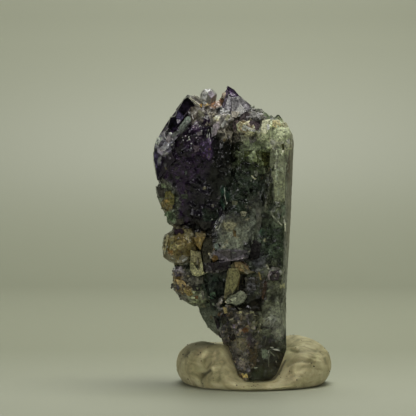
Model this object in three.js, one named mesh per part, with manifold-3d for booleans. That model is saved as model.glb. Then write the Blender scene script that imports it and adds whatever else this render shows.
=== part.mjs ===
// A hand-sized fluorite specimen standing in a flattened ring of putty. Millimetres, +Z up.
// The origin is the middle of the putty's flat underside, and the front looks towards -Y.

import Module from "manifold-3d";
import * as THREE from "three";
import { ConvexGeometry } from "three/addons/geometries/ConvexGeometry.js";
import { mergeVertices } from "three/addons/utils/BufferGeometryUtils.js";

const wasm = await Module();
wasm.setup();

// Driving dimensions of the specimen. Its outline was measured from the front at eye height, so every point
// is given as [across, up, depth]: where it is seen in the middle plane, and how far behind that plane it lies.
const EYE_DISTANCE = 255;
const EYE_ACROSS = -6.9;
const EYE_UP = 26.25;
const TOP = 44.5;
const RIGHT_TOP = 6.0;
const RIGHT_FOOT = 4.8;
const FOOT_UP = 0.7;

// Driving dimensions of the putty.
const PUTTY_HALF_WIDTH = 11.4;
const PUTTY_HALF_DEPTH = 12.4;
const PUTTY_HEIGHT = 5.6;
const PUTTY_FRONT_HEIGHT = 1.5;
const PUTTY_SWELL_HEIGHT = 0.9;
const PUTTY_CENTRE_ACROSS = -0.25;
const PUTTY_BED_HEIGHT = 3.4;
const PUTTY_SIDES = 56;
const GAP = 0.32;

// Moves a seen point along its line of sight to its real place.
function seen([across, up, depth]) {
  const reach = 1 + depth / EYE_DISTANCE;
  return new THREE.Vector3(
    EYE_ACROSS + (across - EYE_ACROSS) * reach,
    depth,
    EYE_UP + (up - EYE_UP) * reach,
  );
}

// Turns a closed geometry into a solid that can be joined and cut.
function solidOf(geometry) {
  const bare = geometry.clone();
  bare.deleteAttribute("normal");
  bare.deleteAttribute("uv");
  const merged = mergeVertices(bare, 1e-4);
  return new wasm.Manifold(new wasm.Mesh({
    numProp: 3,
    vertProperties: new Float32Array(merged.attributes.position.array),
    triVerts: new Uint32Array(merged.index.array),
  }));
}

// Turns a solid back into a geometry.
function geometryOf(solid) {
  const mesh = solid.getMesh();
  const geometry = new THREE.BufferGeometry();
  geometry.setAttribute("position", new THREE.BufferAttribute(mesh.vertProperties, 3));
  geometry.setIndex(new THREE.BufferAttribute(mesh.triVerts, 1));
  geometry.computeVertexNormals();
  return geometry;
}

// The flat-faced solid that wraps a handful of points.
function wrap(points) {
  return solidOf(new ConvexGeometry(points));
}

// The same solid grown by a margin on every side, used to press it into the putty.
function wrapWithMargin(points, margin) {
  const grown = points.flatMap((p) => [-1, 1].flatMap((dx) => [-1, 1].flatMap((dy) => [-1, 1].map(
    (dz) => new THREE.Vector3(p.x + dx * margin, p.y + dy * margin, p.z + dz * margin),
  ))));
  return wrap(grown);
}

// A repeatable stream of numbers between 0 and 1.
function numbers(seed) {
  let state = seed;
  return () => {
    state = (state * 1664525 + 1013904223) % 4294967296;
    return state / 4294967296;
  };
}

// The green fluorite body, from its cleaved right side to the glassy foot.
const GREEN_BODY = {
  upper_body: [
    [-6.5, 39.6, -2.6], [2.2, 39.4, -2.8], [4.4, 38.0, -3.2], [4.9, 35.6, -4.0], [4.6, 23.5, -4.8],
    [4.3, 13.5, -5.0], [-2.5, 12.0, -4.8], [-6.5, 23.0, -4.6], [-6.6, 33.0, -4.0], [-0.6, 30.0, -5.0],
    [-7.5, 39.0, 3.6], [-1.5, 40.6, 4.8], [3.9, 39.0, 5.2], [RIGHT_TOP, 36.2, 5.0], [5.5, 24.0, 6.4],
    [4.85, 13.0, 4.4], [-5.0, 13.0, 5.4], [-8.6, 25.0, 5.6],
  ],
  lower_right_body: [
    [0.4, 22.8, -4.9], [4.2, 23.2, -4.9], [4.3, 14.0, -5.4], [4.4, 5.4, -5.6], [3.9, 5.6, -5.9],
    [-0.6, 6.5, -5.8], [-1.4, 16.0, -5.6], [1.8, 17.0, -5.9], [RIGHT_FOOT, 10.0, -3.4],
    [RIGHT_FOOT, 5.2, 2.4], [RIGHT_FOOT, 15.0, 4.0], [-4.2, 6.8, 2.2], [-3.0, 16.0, 4.6],
  ],
  glassy_foot: [
    [RIGHT_FOOT, 8.4, -4.9], [4.85, 5.0, -5.1], [4.6, 3.4, -5.4], [3.9, 2.1, -5.8], [2.3, 0.9, -6.3],
    [-0.2, FOOT_UP, -6.7], [-0.6, 7.6, -6.4], [2.2, 8.2, -6.3],
    [RIGHT_FOOT, 8.0, 2.4], [4.4, 3.0, 2.0], [2.0, FOOT_UP, 1.4], [-1.6, 1.2, 1.2], [-3.8, 5.0, 1.6],
  ],
  left_shoulder: [
    [-6.6, 26.5, -3.8], [-11.9, 24.6, -1.6], [-12.9, 21.0, -1.2], [-11.9, 17.2, -1.8], [-8.6, 12.6, -2.4],
    [-4.6, 12.4, -4.2], [-4.4, 22.0, -4.6],
    [-11.2, 24.0, 3.6], [-11.6, 17.6, 3.8], [-7.6, 12.2, 4.6], [-4.6, 25.0, 5.6], [-4.4, 12.4, 4.8], [-5.6, 18.8, 6.2],
  ],
  left_knob: [
    [-14.1, 30.3, -0.8], [-14.8, 29.2, -0.2], [-14.5, 27.7, -0.3], [-13.8, 26.4, -0.4], [-12.6, 23.6, -0.8],
    [-13.3, 29.0, -3.2], [-12.5, 26.2, -3.7], [-11.4, 24.0, -3.2], [-9.4, 24.2, -3.6],
    [-13.6, 29.0, 3.0], [-12.2, 24.2, 3.4], [-10.0, 30.0, 3.0],
  ],
  rear_slab: [
    [-8.4, 12.2, 2.4], [-8.3, 10.6, 3.0], [-7.6, 9.4, 3.4], [-6.5, 7.9, 3.4], [-4.8, 6.5, 2.6],
    [-8.0, 16.5, 2.0], [-3.6, 15.0, 1.6], [-3.4, 8.0, 1.2],
    [-7.4, 15.5, 5.4], [-7.2, 11.4, 5.8], [-5.6, 9.2, 5.2], [-4.0, 15.0, 5.6],
  ],
  rear_slab_lobe: [
    [-11.9, 13.7, 1.6], [-10.7, 12.2, 2.0], [-9.4, 11.6, 2.4], [-8.5, 11.4, 2.6], [-7.4, 12.0, 1.0],
    [-11.8, 16.8, 1.6], [-7.6, 17.0, 0.0], [-10.6, 15.5, 5.2], [-7.6, 12.6, 5.6], [-7.4, 17.0, 5.6],
  ],
};

// The purple octahedral crystals at the top left.
const PURPLE_CRYSTALS = {
  main_crystal: [
    [-10.0, 43.2, 0.4], [-8.7, 42.9, 0.8], [-13.3, 38.8, -0.6], [-14.9, 36.0, 0.2], [-15.2, 33.9, 0.6],
    [-14.3, 30.0, 0.4], [-8.9, 42.3, -2.6], [-11.6, 37.3, -5.6], [-7.4, 39.8, -5.2], [-3.2, 37.8, -4.2],
    [-3.5, 30.4, -5.4], [-7.2, 22.6, -4.4], [-11.4, 25.8, -3.2], [-13.2, 30.0, -3.6],
    [-9.6, 41.6, 5.0], [-13.8, 34.4, 5.2], [-8.4, 25.4, 2.6], [-3.0, 38.0, 4.2],
  ],
  side_crystal: [
    [-15.1, 34.6, -1.8], [-14.6, 35.6, -3.0], [-12.6, 35.4, -5.6], [-11.9, 33.4, -5.4], [-14.5, 30.4, -2.6],
    [-15.1, 33.0, 1.4], [-12.6, 35.6, 2.0], [-12.4, 30.4, 1.6],
  ],
  ledge_crystal: [
    [-13.9, 37.6, -2.2], [-14.7, 36.2, -1.8], [-13.6, 35.1, -5.3], [-9.6, 40.0, -5.1], [-9.2, 39.6, -5.7],
    [-12.0, 36.1, -6.3], [-11.6, 38.4, -1.4], [-10.2, 40.2, -2.8],
  ],
  peak_crystal: [
    [-3.8, TOP, 0.4], [-4.9, 42.8, -0.6], [-5.3, 40.6, -1.4], [-4.5, 39.8, -3.9], [-0.4, 41.6, 0.4],
    [-0.7, 40.0, -3.4], [-3.6, 41.0, 4.0], [-0.8, 40.6, 3.2], [-2.4, 38.6, -1.0],
  ],
  granular_block: [
    [-0.6, 41.3, 0.2], [1.4, 40.9, 0.4], [2.2, 39.9, -0.2], [-1.3, 40.0, -4.2], [1.5, 40.0, -4.4],
    [2.1, 38.4, -4.7], [-0.8, 38.0, -4.8], [-0.4, 40.4, 4.4], [1.7, 40.2, 4.4], [0.6, 37.6, 0.0],
  ],
  back_crystal: [
    [-9.0, 41.4, 4.0], [-5.2, 40.8, 4.4], [-11.6, 37.0, 4.4], [-6.8, 37.6, 7.6], [-3.6, 36.0, 5.4],
    [-7.4, 32.8, 5.6], [-6.8, 37.0, 1.0],
  ],
  back_left_crystal: [
    [-12.6, 37.4, 3.6], [-14.6, 34.6, 3.4], [-14.3, 31.2, 3.4], [-11.6, 33.0, 7.0], [-9.6, 35.4, 5.6],
    [-11.0, 28.6, 5.2], [-11.6, 32.6, 1.0],
  ],
  back_low_crystal: [
    [-12.2, 28.6, 3.0], [-12.0, 24.4, 3.2], [-9.6, 29.6, 5.6], [-8.6, 26.0, 7.2], [-6.0, 25.4, 5.8],
    [-9.2, 22.0, 5.4], [-9.0, 26.0, 1.0],
  ],
};

// Cleaved blocks that stand out of the back.
const BACK_BLOCKS = {
  right_shelf: [
    [-0.6, 39.2, 4.6], [3.6, 38.8, 4.8], [5.4, 36.0, 5.0], [5.4, 28.6, 5.8], [1.2, 27.0, 6.8],
    [-1.6, 31.0, 6.8], [-0.4, 36.6, 6.6], [3.8, 35.2, 6.4], [2.0, 33.0, 2.0],
  ],
  middle_shelf: [
    [-4.2, 33.0, 5.6], [-1.2, 33.6, 5.8], [0.6, 29.0, 6.6], [-0.4, 22.6, 7.2], [-4.6, 22.0, 7.2],
    [-6.2, 27.0, 6.4], [-2.6, 28.0, 7.8], [-2.6, 27.0, 2.0],
  ],
  low_shelf: [
    [-1.6, 23.6, 5.6], [4.9, 23.0, 5.4], [4.7, 14.4, 4.6], [0.8, 11.0, 5.2], [-3.6, 13.4, 6.0],
    [-0.6, 18.6, 7.0], [2.6, 18.0, 6.4], [1.0, 17.0, 2.0],
  ],
  rusty_knob: [
    [-9.8, 22.6, 4.2], [-6.6, 21.8, 5.4], [-8.0, 17.0, 6.0], [-11.0, 18.0, 4.6], [-8.8, 20.0, 6.8],
    [-6.6, 17.6, 5.6], [-8.6, 19.6, 2.0],
  ],
  foot_shelf: [
    [-3.8, 11.6, 4.0], [3.6, 12.0, 3.8], [3.8, 7.6, 2.6], [-2.6, 6.8, 3.2], [0.4, 9.4, 5.0],
    [0.2, 9.4, 1.0],
  ],
};

// The minerals grown on and between them: frosted green, honey, cleavage steps, tan blades and crusts.
const GROWTHS = {
  summit_bed: [
    [-8.9, 42.2, -0.2], [-5.0, 42.4, 0.2], [-9.2, 40.4, -3.4], [-3.6, 41.0, -3.0], [-3.0, 39.6, -4.4],
    [-7.6, 39.2, -5.1], [-8.4, 41.6, 4.4], [-3.8, 41.4, 4.4], [-5.0, 37.6, -4.6],
  ],
  small_lilac_tip: [
    [-6.9, 44.0, 0.4], [-7.9, 43.0, 0.2], [-5.7, 43.2, 0.2], [-6.8, 43.1, -0.9], [-6.7, 43.1, 1.5],
    [-7.0, 42.0, 0.2],
  ],
  cream_crust: [
    [-2.4, 39.4, -4.3], [-1.6, 39.7, -4.8], [0.2, 38.6, -5.4], [0.3, 37.6, -5.2], [-1.7, 37.3, -5.2],
    [-2.5, 38.2, -4.9], [-1.0, 38.4, -2.0],
  ],
  frosted_top: [
    [2.2, 39.9, -0.2], [3.1, 40.0, 0.3], [4.0, 39.4, 0.2], [5.1, 38.6, 0.4], [5.8, 37.3, 0.4],
    [RIGHT_TOP, 36.2, -1.0], [0.7, 38.4, -4.6], [3.3, 38.9, -4.7], [5.3, 37.4, -4.3], [5.7, 35.0, -4.0],
    [1.8, 35.0, -5.1], [3.8, 36.6, -5.6], [2.6, 39.4, 4.6], [5.5, 37.4, 4.6], [3.0, 35.0, 0.0],
  ],
  frosted_finger: [
    [2.5, 35.8, -4.4], [4.9, 35.8, -4.2], [4.6, 27.1, -4.7], [3.1, 27.2, -4.9], [3.1, 34.6, -5.7],
    [4.3, 34.4, -5.6], [4.2, 27.8, -5.9], [3.4, 27.9, -6.0], [3.6, 36.4, -2.0], [3.8, 27.0, -2.4],
  ],
  frosted_lump_left: [
    [0.8, 39.2, -4.2], [1.9, 39.5, -4.0], [2.6, 38.6, -5.2], [1.4, 37.4, -5.8], [0.3, 37.8, -5.0],
    [2.2, 36.6, -5.6], [0.8, 36.0, -5.2], [1.6, 38.0, -2.4],
  ],
  frosted_lump_right: [
    [3.3, 39.2, -3.4], [4.6, 38.8, -3.2], [5.2, 37.6, -4.2], [4.0, 36.6, -5.6], [2.9, 37.8, -5.4],
    [4.6, 36.0, -4.8], [4.0, 37.8, -1.8],
  ],
  dark_step: [
    [-2.8, 34.6, -4.4], [0.4, 35.4, -4.8], [1.6, 33.0, -5.2], [0.6, 29.6, -5.6], [-1.2, 28.6, -5.6],
    [-3.0, 30.2, -5.2], [-0.8, 32.2, -5.9], [-0.6, 31.6, -3.0],
  ],
  dark_rib: [
    [-5.2, 30.6, -4.6], [-4.2, 31.0, -4.8], [-3.9, 27.0, -5.4], [-4.6, 25.6, -5.2], [-4.6, 28.0, -5.9],
    [-4.6, 28.2, -3.0],
  ],
  green_step: [
    [1.2, 29.0, -4.8], [2.6, 30.4, -4.8], [2.7, 24.6, -5.2], [1.4, 23.0, -5.2], [0.8, 25.6, -5.2],
    [1.8, 27.0, -5.8], [1.8, 26.8, -3.0],
  ],
  diamond_plate: [
    [2.4, 25.3, -4.9], [3.3, 26.7, -5.2], [4.6, 26.4, -5.0], [4.8, 24.3, -4.9], [4.0, 23.5, -5.1],
    [3.2, 24.2, -5.5], [3.5, 26.0, -5.7], [4.3, 25.8, -5.6], [3.8, 25.2, -2.6],
  ],
  cleavage_slab: [
    [-4.8, 26.8, -4.5], [-1.2, 27.4, -4.7], [0.3, 24.6, -5.2], [0.2, 22.4, -5.6], [-0.8, 18.7, -6.3],
    [-3.0, 18.2, -6.6], [-6.6, 18.5, -6.1], [-7.2, 20.4, -5.3], [-6.2, 24.0, -4.8], [-3.4, 21.6, -6.5],
    [-5.0, 20.0, -3.0], [-0.4, 20.0, -3.0],
  ],
  purple_band: [
    [-7.7, 18.1, -5.2], [-3.5, 18.6, -5.6], [-3.6, 16.8, -5.7], [-7.3, 16.5, -5.3], [-5.6, 17.6, -6.2],
    [-6.0, 17.4, -2.4],
  ],
  window_facet: [
    [-7.3, 17.0, -4.6], [-3.8, 17.2, -4.9], [-4.3, 13.2, -4.9], [-5.2, 10.6, -4.5], [-6.4, 11.6, -4.3],
    [-5.5, 15.0, -1.6],
  ],
  honey_crystal: [
    [-13.7, 21.0, -1.0], [-13.6, 19.8, -1.2], [-12.8, 18.3, -1.6], [-12.9, 22.6, -1.0], [-12.6, 21.8, -4.8],
    [-10.6, 22.5, -4.6], [-12.4, 19.4, -5.2], [-10.4, 18.2, -4.6], [-9.4, 21.0, -5.4], [-11.2, 20.6, -5.9],
    [-8.6, 19.8, -4.6], [-9.0, 22.4, -3.6], [-12.6, 20.6, 3.2], [-10.0, 18.0, 1.0], [-9.4, 22.6, 2.0],
  ],
  tan_wedge: [
    [-8.9, 22.6, -4.6], [-7.3, 22.4, -4.9], [-8.0, 20.4, -5.4], [-8.2, 21.8, -5.7], [-8.0, 21.8, -2.8],
  ],
  beige_finger: [
    [-9.7, 19.3, -4.2], [-8.1, 19.5, -4.4], [-9.2, 16.5, -4.6], [-8.1, 16.1, -4.8], [-7.4, 16.8, -4.6],
    [-8.7, 18.8, -5.7], [-8.3, 16.9, -5.8], [-8.4, 18.0, -1.6],
  ],
  crumbly_lump: [
    [-12.2, 17.4, 0.6], [-12.3, 15.8, 0.2], [-11.9, 13.8, 0.6], [-10.6, 12.3, 1.0], [-8.8, 11.9, 1.2],
    [-11.4, 16.8, -2.8], [-10.6, 14.0, -3.2], [-8.9, 13.4, -3.4], [-7.6, 16.6, -3.8], [-9.6, 17.4, -3.6],
    [-11.0, 15.0, 4.0], [-8.0, 12.6, 3.6],
  ],
  edge_blade: [
    [-12.7, 15.2, 1.2], [-12.4, 15.5, 1.3], [-12.6, 13.5, 1.2], [-12.3, 13.7, 1.3], [-12.5, 14.4, 1.7],
    [-10.8, 14.6, 1.6],
  ],
  tan_blade: [
    [-3.7, 17.7, -5.8], [-2.6, 18.3, -6.0], [-0.4, 16.7, -6.2], [-0.9, 16.1, -6.0], [-3.0, 16.9, -6.1],
    [-1.7, 17.4, -6.7], [-1.8, 17.0, -4.6],
  ],
  tan_column: [
    [-3.9, 17.0, -5.6], [-2.2, 16.9, -5.8], [-2.3, 13.6, -5.8], [-4.6, 12.6, -5.5], [-3.4, 15.4, -6.4],
    [-3.6, 13.4, -6.3], [-3.2, 14.8, -3.4],
  ],
  pale_shard: [
    [-4.6, 12.0, -5.9], [-3.8, 13.2, -6.0], [-1.5, 13.9, -6.2], [-1.2, 13.0, -6.3], [-2.0, 12.2, -6.4],
    [-2.7, 13.1, -7.1], [-2.6, 12.8, -4.6],
  ],
  small_lilac_crystal: [
    [2.8, 17.4, -5.6], [1.9, 16.4, -5.7], [3.7, 16.5, -5.6], [2.9, 15.3, -5.7], [2.8, 16.4, -6.8],
    [2.8, 16.3, -4.6],
  ],
  lower_block: [
    [-4.3, 11.9, -5.4], [-5.8, 10.4, -4.8], [-5.4, 8.2, -4.9], [-4.6, 6.2, -5.2], [-3.9, 4.8, -5.6],
    [-2.7, 2.2, -6.2], [-2.2, 1.2, -6.5], [-0.9, 0.6, -6.9], [0.2, 1.6, -7.2], [-0.4, 6.4, -7.1],
    [1.2, 9.9, -6.5], [1.2, 10.6, -5.9], [-1.6, 10.4, -6.9], [-3.4, 9.4, -6.9], [-3.0, 5.0, -6.8],
    [-4.9, 10.0, 2.4], [-4.6, 6.6, 2.6], [-2.4, 1.2, 1.0],
  ],
};

// Notches and steps that cut into the body: [across, up, depth] of each wedge's corners.
const NOTCHES = {
  purple_v_notch: [
    [-7.6, 40.9, -6.4], [-6.6, 40.9, -6.4], [-7.0, 38.6, -6.4], [-7.1, 39.8, -4.2],
  ],
  undercut_below_purple: [
    [-9.0, 22.6, -7.0], [-6.3, 22.9, -7.0], [-7.2, 19.4, -7.0], [-8.6, 20.6, -3.6], [-6.8, 20.6, -3.6],
  ],
  step_beside_slab: [
    [0.3, 22.4, -8.0], [1.1, 21.4, -8.0], [-0.1, 18.2, -8.0], [0.6, 18.2, -8.0], [0.5, 20.4, -4.6],
  ],
  gap_above_lower_block: [
    [-1.4, 12.4, -8.0], [0.9, 12.0, -8.0], [0.8, 10.8, -8.0], [-1.6, 10.8, -8.0], [-0.4, 11.6, -4.6],
  ],
  slit: [
    [-5.9, 9.9, -6.4], [-5.5, 10.1, -6.4], [-4.9, 8.2, -6.4], [-5.3, 8.0, -6.4], [-5.3, 9.1, -3.8],
  ],
};

// Grains of the druse: where they are sown, how many, how large they are, and how far they sink into the body.
const DRUSES = [
  { seed: 11, count: 20, across: [-12.0, -4.4], up: [32, 40], from: -20, radius: [0.6, 1.2], sink: 0.25 },
  { seed: 17, count: 10, across: [-9.6, -4.8], up: [25, 31], from: -20, radius: [0.9, 1.6], sink: 0.4 },
  { seed: 23, count: 20, across: [-3.0, 2.6], up: [28, 37], from: -20, radius: [0.7, 1.5], sink: 0.35 },
  { seed: 29, count: 16, across: [-8.4, 1.6], up: [38.2, 41.2], from: -20, radius: [0.5, 1.0], sink: 0.2 },
  { seed: 31, count: 16, across: [-12.0, -8.2], up: [12.8, 17.2], from: -20, radius: [0.6, 1.1], sink: 0.2 },
  { seed: 37, count: 30, across: [-4.8, 0.8], up: [2.6, 11.0], from: -20, radius: [0.5, 1.1], sink: 0.3 },
  { seed: 41, count: 10, across: [1.4, 3.4], up: [7, 22], from: -20, radius: [0.6, 1.1], sink: 0.45 },
  { seed: 47, count: 12, across: [-14.0, -11.8], up: [24, 29.6], from: -20, radius: [0.5, 0.9], sink: 0.25 },
  { seed: 53, count: 34, across: [-12.5, 3.6], up: [24, 40], from: 20, radius: [1.0, 2.3], sink: 0.45 },
  { seed: 59, count: 24, across: [-10.0, 3.6], up: [8, 24], from: 20, radius: [0.7, 1.7], sink: 0.4 },
];

// All grains are turned the same way, as on one lattice, give or take a little.
const GRAIN_TURN = new THREE.Euler(0.45, 0.3, 0.6);
const GRAIN_WOBBLE = 0.25;

// The six corners of a small octahedron.
function grain(centre, radius, random) {
  const turn = new THREE.Euler(
    GRAIN_TURN.x + (random() - 0.5) * GRAIN_WOBBLE,
    GRAIN_TURN.y + (random() - 0.5) * GRAIN_WOBBLE,
    GRAIN_TURN.z + (random() - 0.5) * GRAIN_WOBBLE,
  );
  const axes = [new THREE.Vector3(1, 0, 0), new THREE.Vector3(0, 1, 0), new THREE.Vector3(0, 0, 1)];
  return axes.flatMap((axis) => [-radius, radius].map(
    (length) => axis.clone().applyEuler(turn).multiplyScalar(length).add(centre),
  ));
}

// Sows grains on the side of a body that faces the sower, and gives the corners of each.
function sowDruse(body, { seed, count, across, up, from, radius, sink }) {
  const random = numbers(seed);
  const target = new THREE.Mesh(geometryOf(body), new THREE.MeshBasicMaterial({ side: THREE.DoubleSide }));
  const caster = new THREE.Raycaster();
  const towards = new THREE.Vector3(0, -Math.sign(from), 0);
  const grains = [];
  for (let i = 0; i < count; i += 1) {
    const start = new THREE.Vector3(
      THREE.MathUtils.lerp(across[0], across[1], random()),
      from,
      THREE.MathUtils.lerp(up[0], up[1], random()),
    );
    const size = THREE.MathUtils.lerp(radius[0], radius[1], random() ** 2);
    caster.set(start, towards);
    const hit = caster.intersectObject(target)[0];
    if (hit) grains.push(grain(hit.point.addScaledVector(towards, size * sink), size, random));
  }
  return grains;
}

// Joins the crystals and growths, cuts the notches, and sows the druse. Every convex piece is kept as its
// corner points, so that the putty can be pressed by the same pieces.
const pieces = [GREEN_BODY, PURPLE_CRYSTALS, BACK_BLOCKS, GROWTHS]
  .flatMap((group) => Object.values(group))
  .map((list) => list.map(seen));
const bare = Object.values(NOTCHES).reduce(
  (body, list) => body.subtract(wrap(list.map(seen))),
  pieces.map(wrap).reduce((a, b) => a.add(b)),
);
const grains = DRUSES.flatMap((row) => sowDruse(bare, row));
const specimenSolid = grains.reduce((body, points) => body.add(wrap(points)), bare);
const pressedIn = [...pieces, ...grains].filter((points) => points.some((p) => p.z < PUTTY_HEIGHT + 1));

// How far the putty's edge reaches at a bearing, and how high its rim stands there. Bearing 0 is to the right.
function puttyReach(bearing) {
  const lobes = 0.035 * Math.cos(2 * bearing + 0.4) + 0.022 * Math.sin(3 * bearing + 1.1)
    + 0.012 * Math.sin(7 * bearing);
  return 1 + lobes;
}

// The rim dips where the specimen's foot was pressed in at the front, and swells up beside it at the rear right.
const DIP_BEARING = THREE.MathUtils.degToRad(-84);
const SWELL_BEARING = THREE.MathUtils.degToRad(38);
const SWELL_WIDTH = 0.6;

function puttyRim(bearing) {
  const dip = THREE.MathUtils.smoothstep(Math.cos(bearing - DIP_BEARING), 0.72, 0.985);
  const swell = PUTTY_SWELL_HEIGHT * Math.exp(-(((bearing - SWELL_BEARING) / SWELL_WIDTH) ** 2));
  const sag = 0.15 * Math.sin(2 * bearing + 0.6) + 0.18 * Math.sin(5 * bearing);
  return THREE.MathUtils.lerp(PUTTY_HEIGHT + swell + sag, PUTTY_FRONT_HEIGHT, dip);
}

// The ring's section from the middle of its underside round its edge to the middle of its bed:
// [share of the reach, share of the rim's height, share of the bed's height].
const PUTTY_SECTION = [
  [0.0, 0.0, 0.0], [0.5, 0.0, 0.0], [0.86, 0.0, 0.0], [0.94, 0.1, 0.0], [0.985, 0.26, 0.0],
  [1.0, 0.44, 0.0], [0.985, 0.62, 0.0], [0.94, 0.78, 0.0], [0.86, 0.91, 0.0], [0.75, 0.985, 0.0],
  [0.64, 1.0, 0.0], [0.53, 0.9, 0.06], [0.43, 0.66, 0.3], [0.33, 0.32, 0.66], [0.2, 0.08, 0.92],
  [0.0, 0.0, 1.0],
];

// The crease where the rope of putty was folded over at the front left.
const FOLD_BEARING = THREE.MathUtils.degToRad(-133);
const FOLD_WIDTH = 0.11;
const FOLD_DEPTH = 0.09;

function makePutty(pressed) {
  const outline = PUTTY_SECTION.map(([share]) => new THREE.Vector2(share, 0));
  const geometry = new THREE.LatheGeometry(outline, PUTTY_SIDES);
  const position = geometry.attributes.position;
  const rows = PUTTY_SECTION.length;
  for (let i = 0; i < position.count; i += 1) {
    const [share, rimShare, bedShare] = PUTTY_SECTION[i % rows];
    const bearing = (Math.floor(i / rows) % PUTTY_SIDES) / PUTTY_SIDES * 2 * Math.PI;
    const fold = Math.exp(-(((bearing - 2 * Math.PI - FOLD_BEARING) / FOLD_WIDTH) ** 2));
    const reach = share * puttyReach(bearing) * (1 - FOLD_DEPTH * fold * Math.min(1, rimShare * 3));
    position.setXYZ(
      i,
      PUTTY_CENTRE_ACROSS + reach * PUTTY_HALF_WIDTH * Math.cos(bearing),
      reach * PUTTY_HALF_DEPTH * Math.sin(bearing),
      rimShare * puttyRim(bearing) + bedShare * PUTTY_BED_HEIGHT,
    );
  }
  const blob = solidOf(geometry);
  return pressed.reduce((body, points) => body.subtract(wrapWithMargin(points, GAP)), blob);
}

const fluoriteFinish = new THREE.MeshStandardMaterial({ color: 0x3a3c3a, roughness: 0.25, metalness: 0 });
const puttyFinish = new THREE.MeshStandardMaterial({ color: 0x9f9779, roughness: 0.8, metalness: 0 });

const specimen = new THREE.Mesh(geometryOf(specimenSolid), fluoriteFinish);
specimen.name = "fluorite_specimen";

const putty = new THREE.Mesh(geometryOf(makePutty(pressedIn)), puttyFinish);
putty.name = "putty_ring";

const part = new THREE.Group();
part.name = "fluorite_cluster";
part.add(putty, specimen);

export default part;
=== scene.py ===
"""A fluorite cluster standing upright in a ring of kneaded putty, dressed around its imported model.

Lengths are in millimetres until a mesh is made, and Blender's own are in metres. A corner of a crystal is
(across, up, depth): where it is seen in the middle plane from the front, and how far behind that plane it
lies, as in the model's source. Zones, facets and flakes are given in pixels of the 416-pixel front view.
"""

import logging
import math
from collections.abc import Sequence
from dataclasses import dataclass, replace
from enum import Enum

import bmesh
import bpy
import numpy as np
from mathutils import Euler, Matrix, Vector
from mathutils.bvhtree import BVHTree

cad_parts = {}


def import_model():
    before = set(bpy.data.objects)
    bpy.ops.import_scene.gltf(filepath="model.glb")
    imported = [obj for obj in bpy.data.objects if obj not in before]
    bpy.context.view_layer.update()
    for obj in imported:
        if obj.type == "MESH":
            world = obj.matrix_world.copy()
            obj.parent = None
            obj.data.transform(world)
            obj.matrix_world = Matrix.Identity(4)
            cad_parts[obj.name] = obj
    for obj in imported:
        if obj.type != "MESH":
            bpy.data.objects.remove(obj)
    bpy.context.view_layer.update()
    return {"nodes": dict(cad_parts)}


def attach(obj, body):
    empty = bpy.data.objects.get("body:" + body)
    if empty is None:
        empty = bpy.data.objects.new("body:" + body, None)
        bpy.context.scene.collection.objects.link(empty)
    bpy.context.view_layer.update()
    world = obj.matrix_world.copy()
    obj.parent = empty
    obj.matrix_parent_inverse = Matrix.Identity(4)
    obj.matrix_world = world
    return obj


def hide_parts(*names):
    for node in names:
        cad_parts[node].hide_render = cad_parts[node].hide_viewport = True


MM = 0.001

# The level camera in mm, and how its picture's pixels lie on the middle plane.
EYE_DISTANCE = 255.0
EYE_ACROSS = -6.9
EYE_UP = 26.25
EYE = Vector((EYE_ACROSS, -EYE_DISTANCE, EYE_UP))
PIXEL = 0.15
MIDDLE_PIXEL = 254.0
FLOOR_PIXEL = 383.0
VIEW_PIXELS = 416
SENSOR = 36.0

# The lattice that the crystals share, as it is turned in the frame.
LATTICE_TURN = Euler((0.45, 0.3, 0.6))
LATTICE = np.array(LATTICE_TURN.to_matrix())
FLUORITE_IOR = 1.434

# Attributes of the meshes, for the materials and the sowing to read.
TINT = "mineral_tint"
CLEAR = "clearness"
FROST = "frost"
SOWN_CLEAR = "sown_clear"
SOWN_GRIT = "sown_grit"
PITTED = "pitted"
DIRT_AND_SHADE = "dirt_and_shade"

# Colours are given as they show, so they are lifted to the stone's own, up to the palest that it has.
SHOWN_LIFT = 1.7
CLEAR_LOSS = 0.9
PALEST = 0.75
# Right of this column the long cleavage is clean of grains.
CLEAN_COLUMN = 283.0

log = logging.getLogger("fluorite_cluster")

Corner = tuple[float, float, float]
Corners = tuple[Corner, ...]
Colour = tuple[float, float, float, float]


def seen(corner: Corner) -> Vector:
    """Moves a seen point along its line of sight to its real place.

    Args:
        corner: Across, up and depth, in mm.

    Returns:
        The place in the frame, in mm.
    """
    across, up, depth = corner
    reach = 1 + depth / EYE_DISTANCE
    return Vector((EYE_ACROSS + (across - EYE_ACROSS) * reach, depth, EYE_UP + (up - EYE_UP) * reach))


def pixels(places: np.ndarray) -> tuple[np.ndarray, np.ndarray]:
    """Tells where places are seen in the front view.

    Args:
        places: Places in mm, a row each.

    Returns:
        The columns and the rows, in pixels.
    """
    reach = 1 + places[:, 1] / EYE_DISTANCE
    across = EYE_ACROSS + (places[:, 0] - EYE_ACROSS) / reach
    up = EYE_UP + (places[:, 2] - EYE_UP) / reach
    return MIDDLE_PIXEL + across / PIXEL, FLOOR_PIXEL - up / PIXEL


def linear(hex_colour: str) -> Colour:
    """Turns an sRGB hex colour into linear light.

    Args:
        hex_colour: The colour, such as "#A9A183".

    Returns:
        Red, green, blue and alpha.
    """
    parts = [int(hex_colour[i:i + 2], 16) / 255 for i in (1, 3, 5)]
    light = [p / 12.92 if p <= 0.04045 else ((p + 0.055) / 1.055) ** 2.4 for p in parts]
    return (light[0], light[1], light[2], 1.0)


def add_node(tree: bpy.types.NodeTree, kind: str, settings: dict | None = None,
             links: dict | None = None) -> bpy.types.Node:
    """Adds a node with its settings and its links.

    Args:
        tree: The node tree.
        kind: The node's type name.
        settings: Properties, or values of inputs by name or number.
        links: Sockets to link into inputs, by name or number.

    Returns:
        The new node.
    """
    node = tree.nodes.new(kind)
    for key, value in (settings or {}).items():
        if isinstance(key, str) and hasattr(node, key):
            setattr(node, key, value)
        else:
            node.inputs[key].default_value = value
    for key, socket in (links or {}).items():
        tree.links.new(socket, node.inputs[key])
    return node


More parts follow.
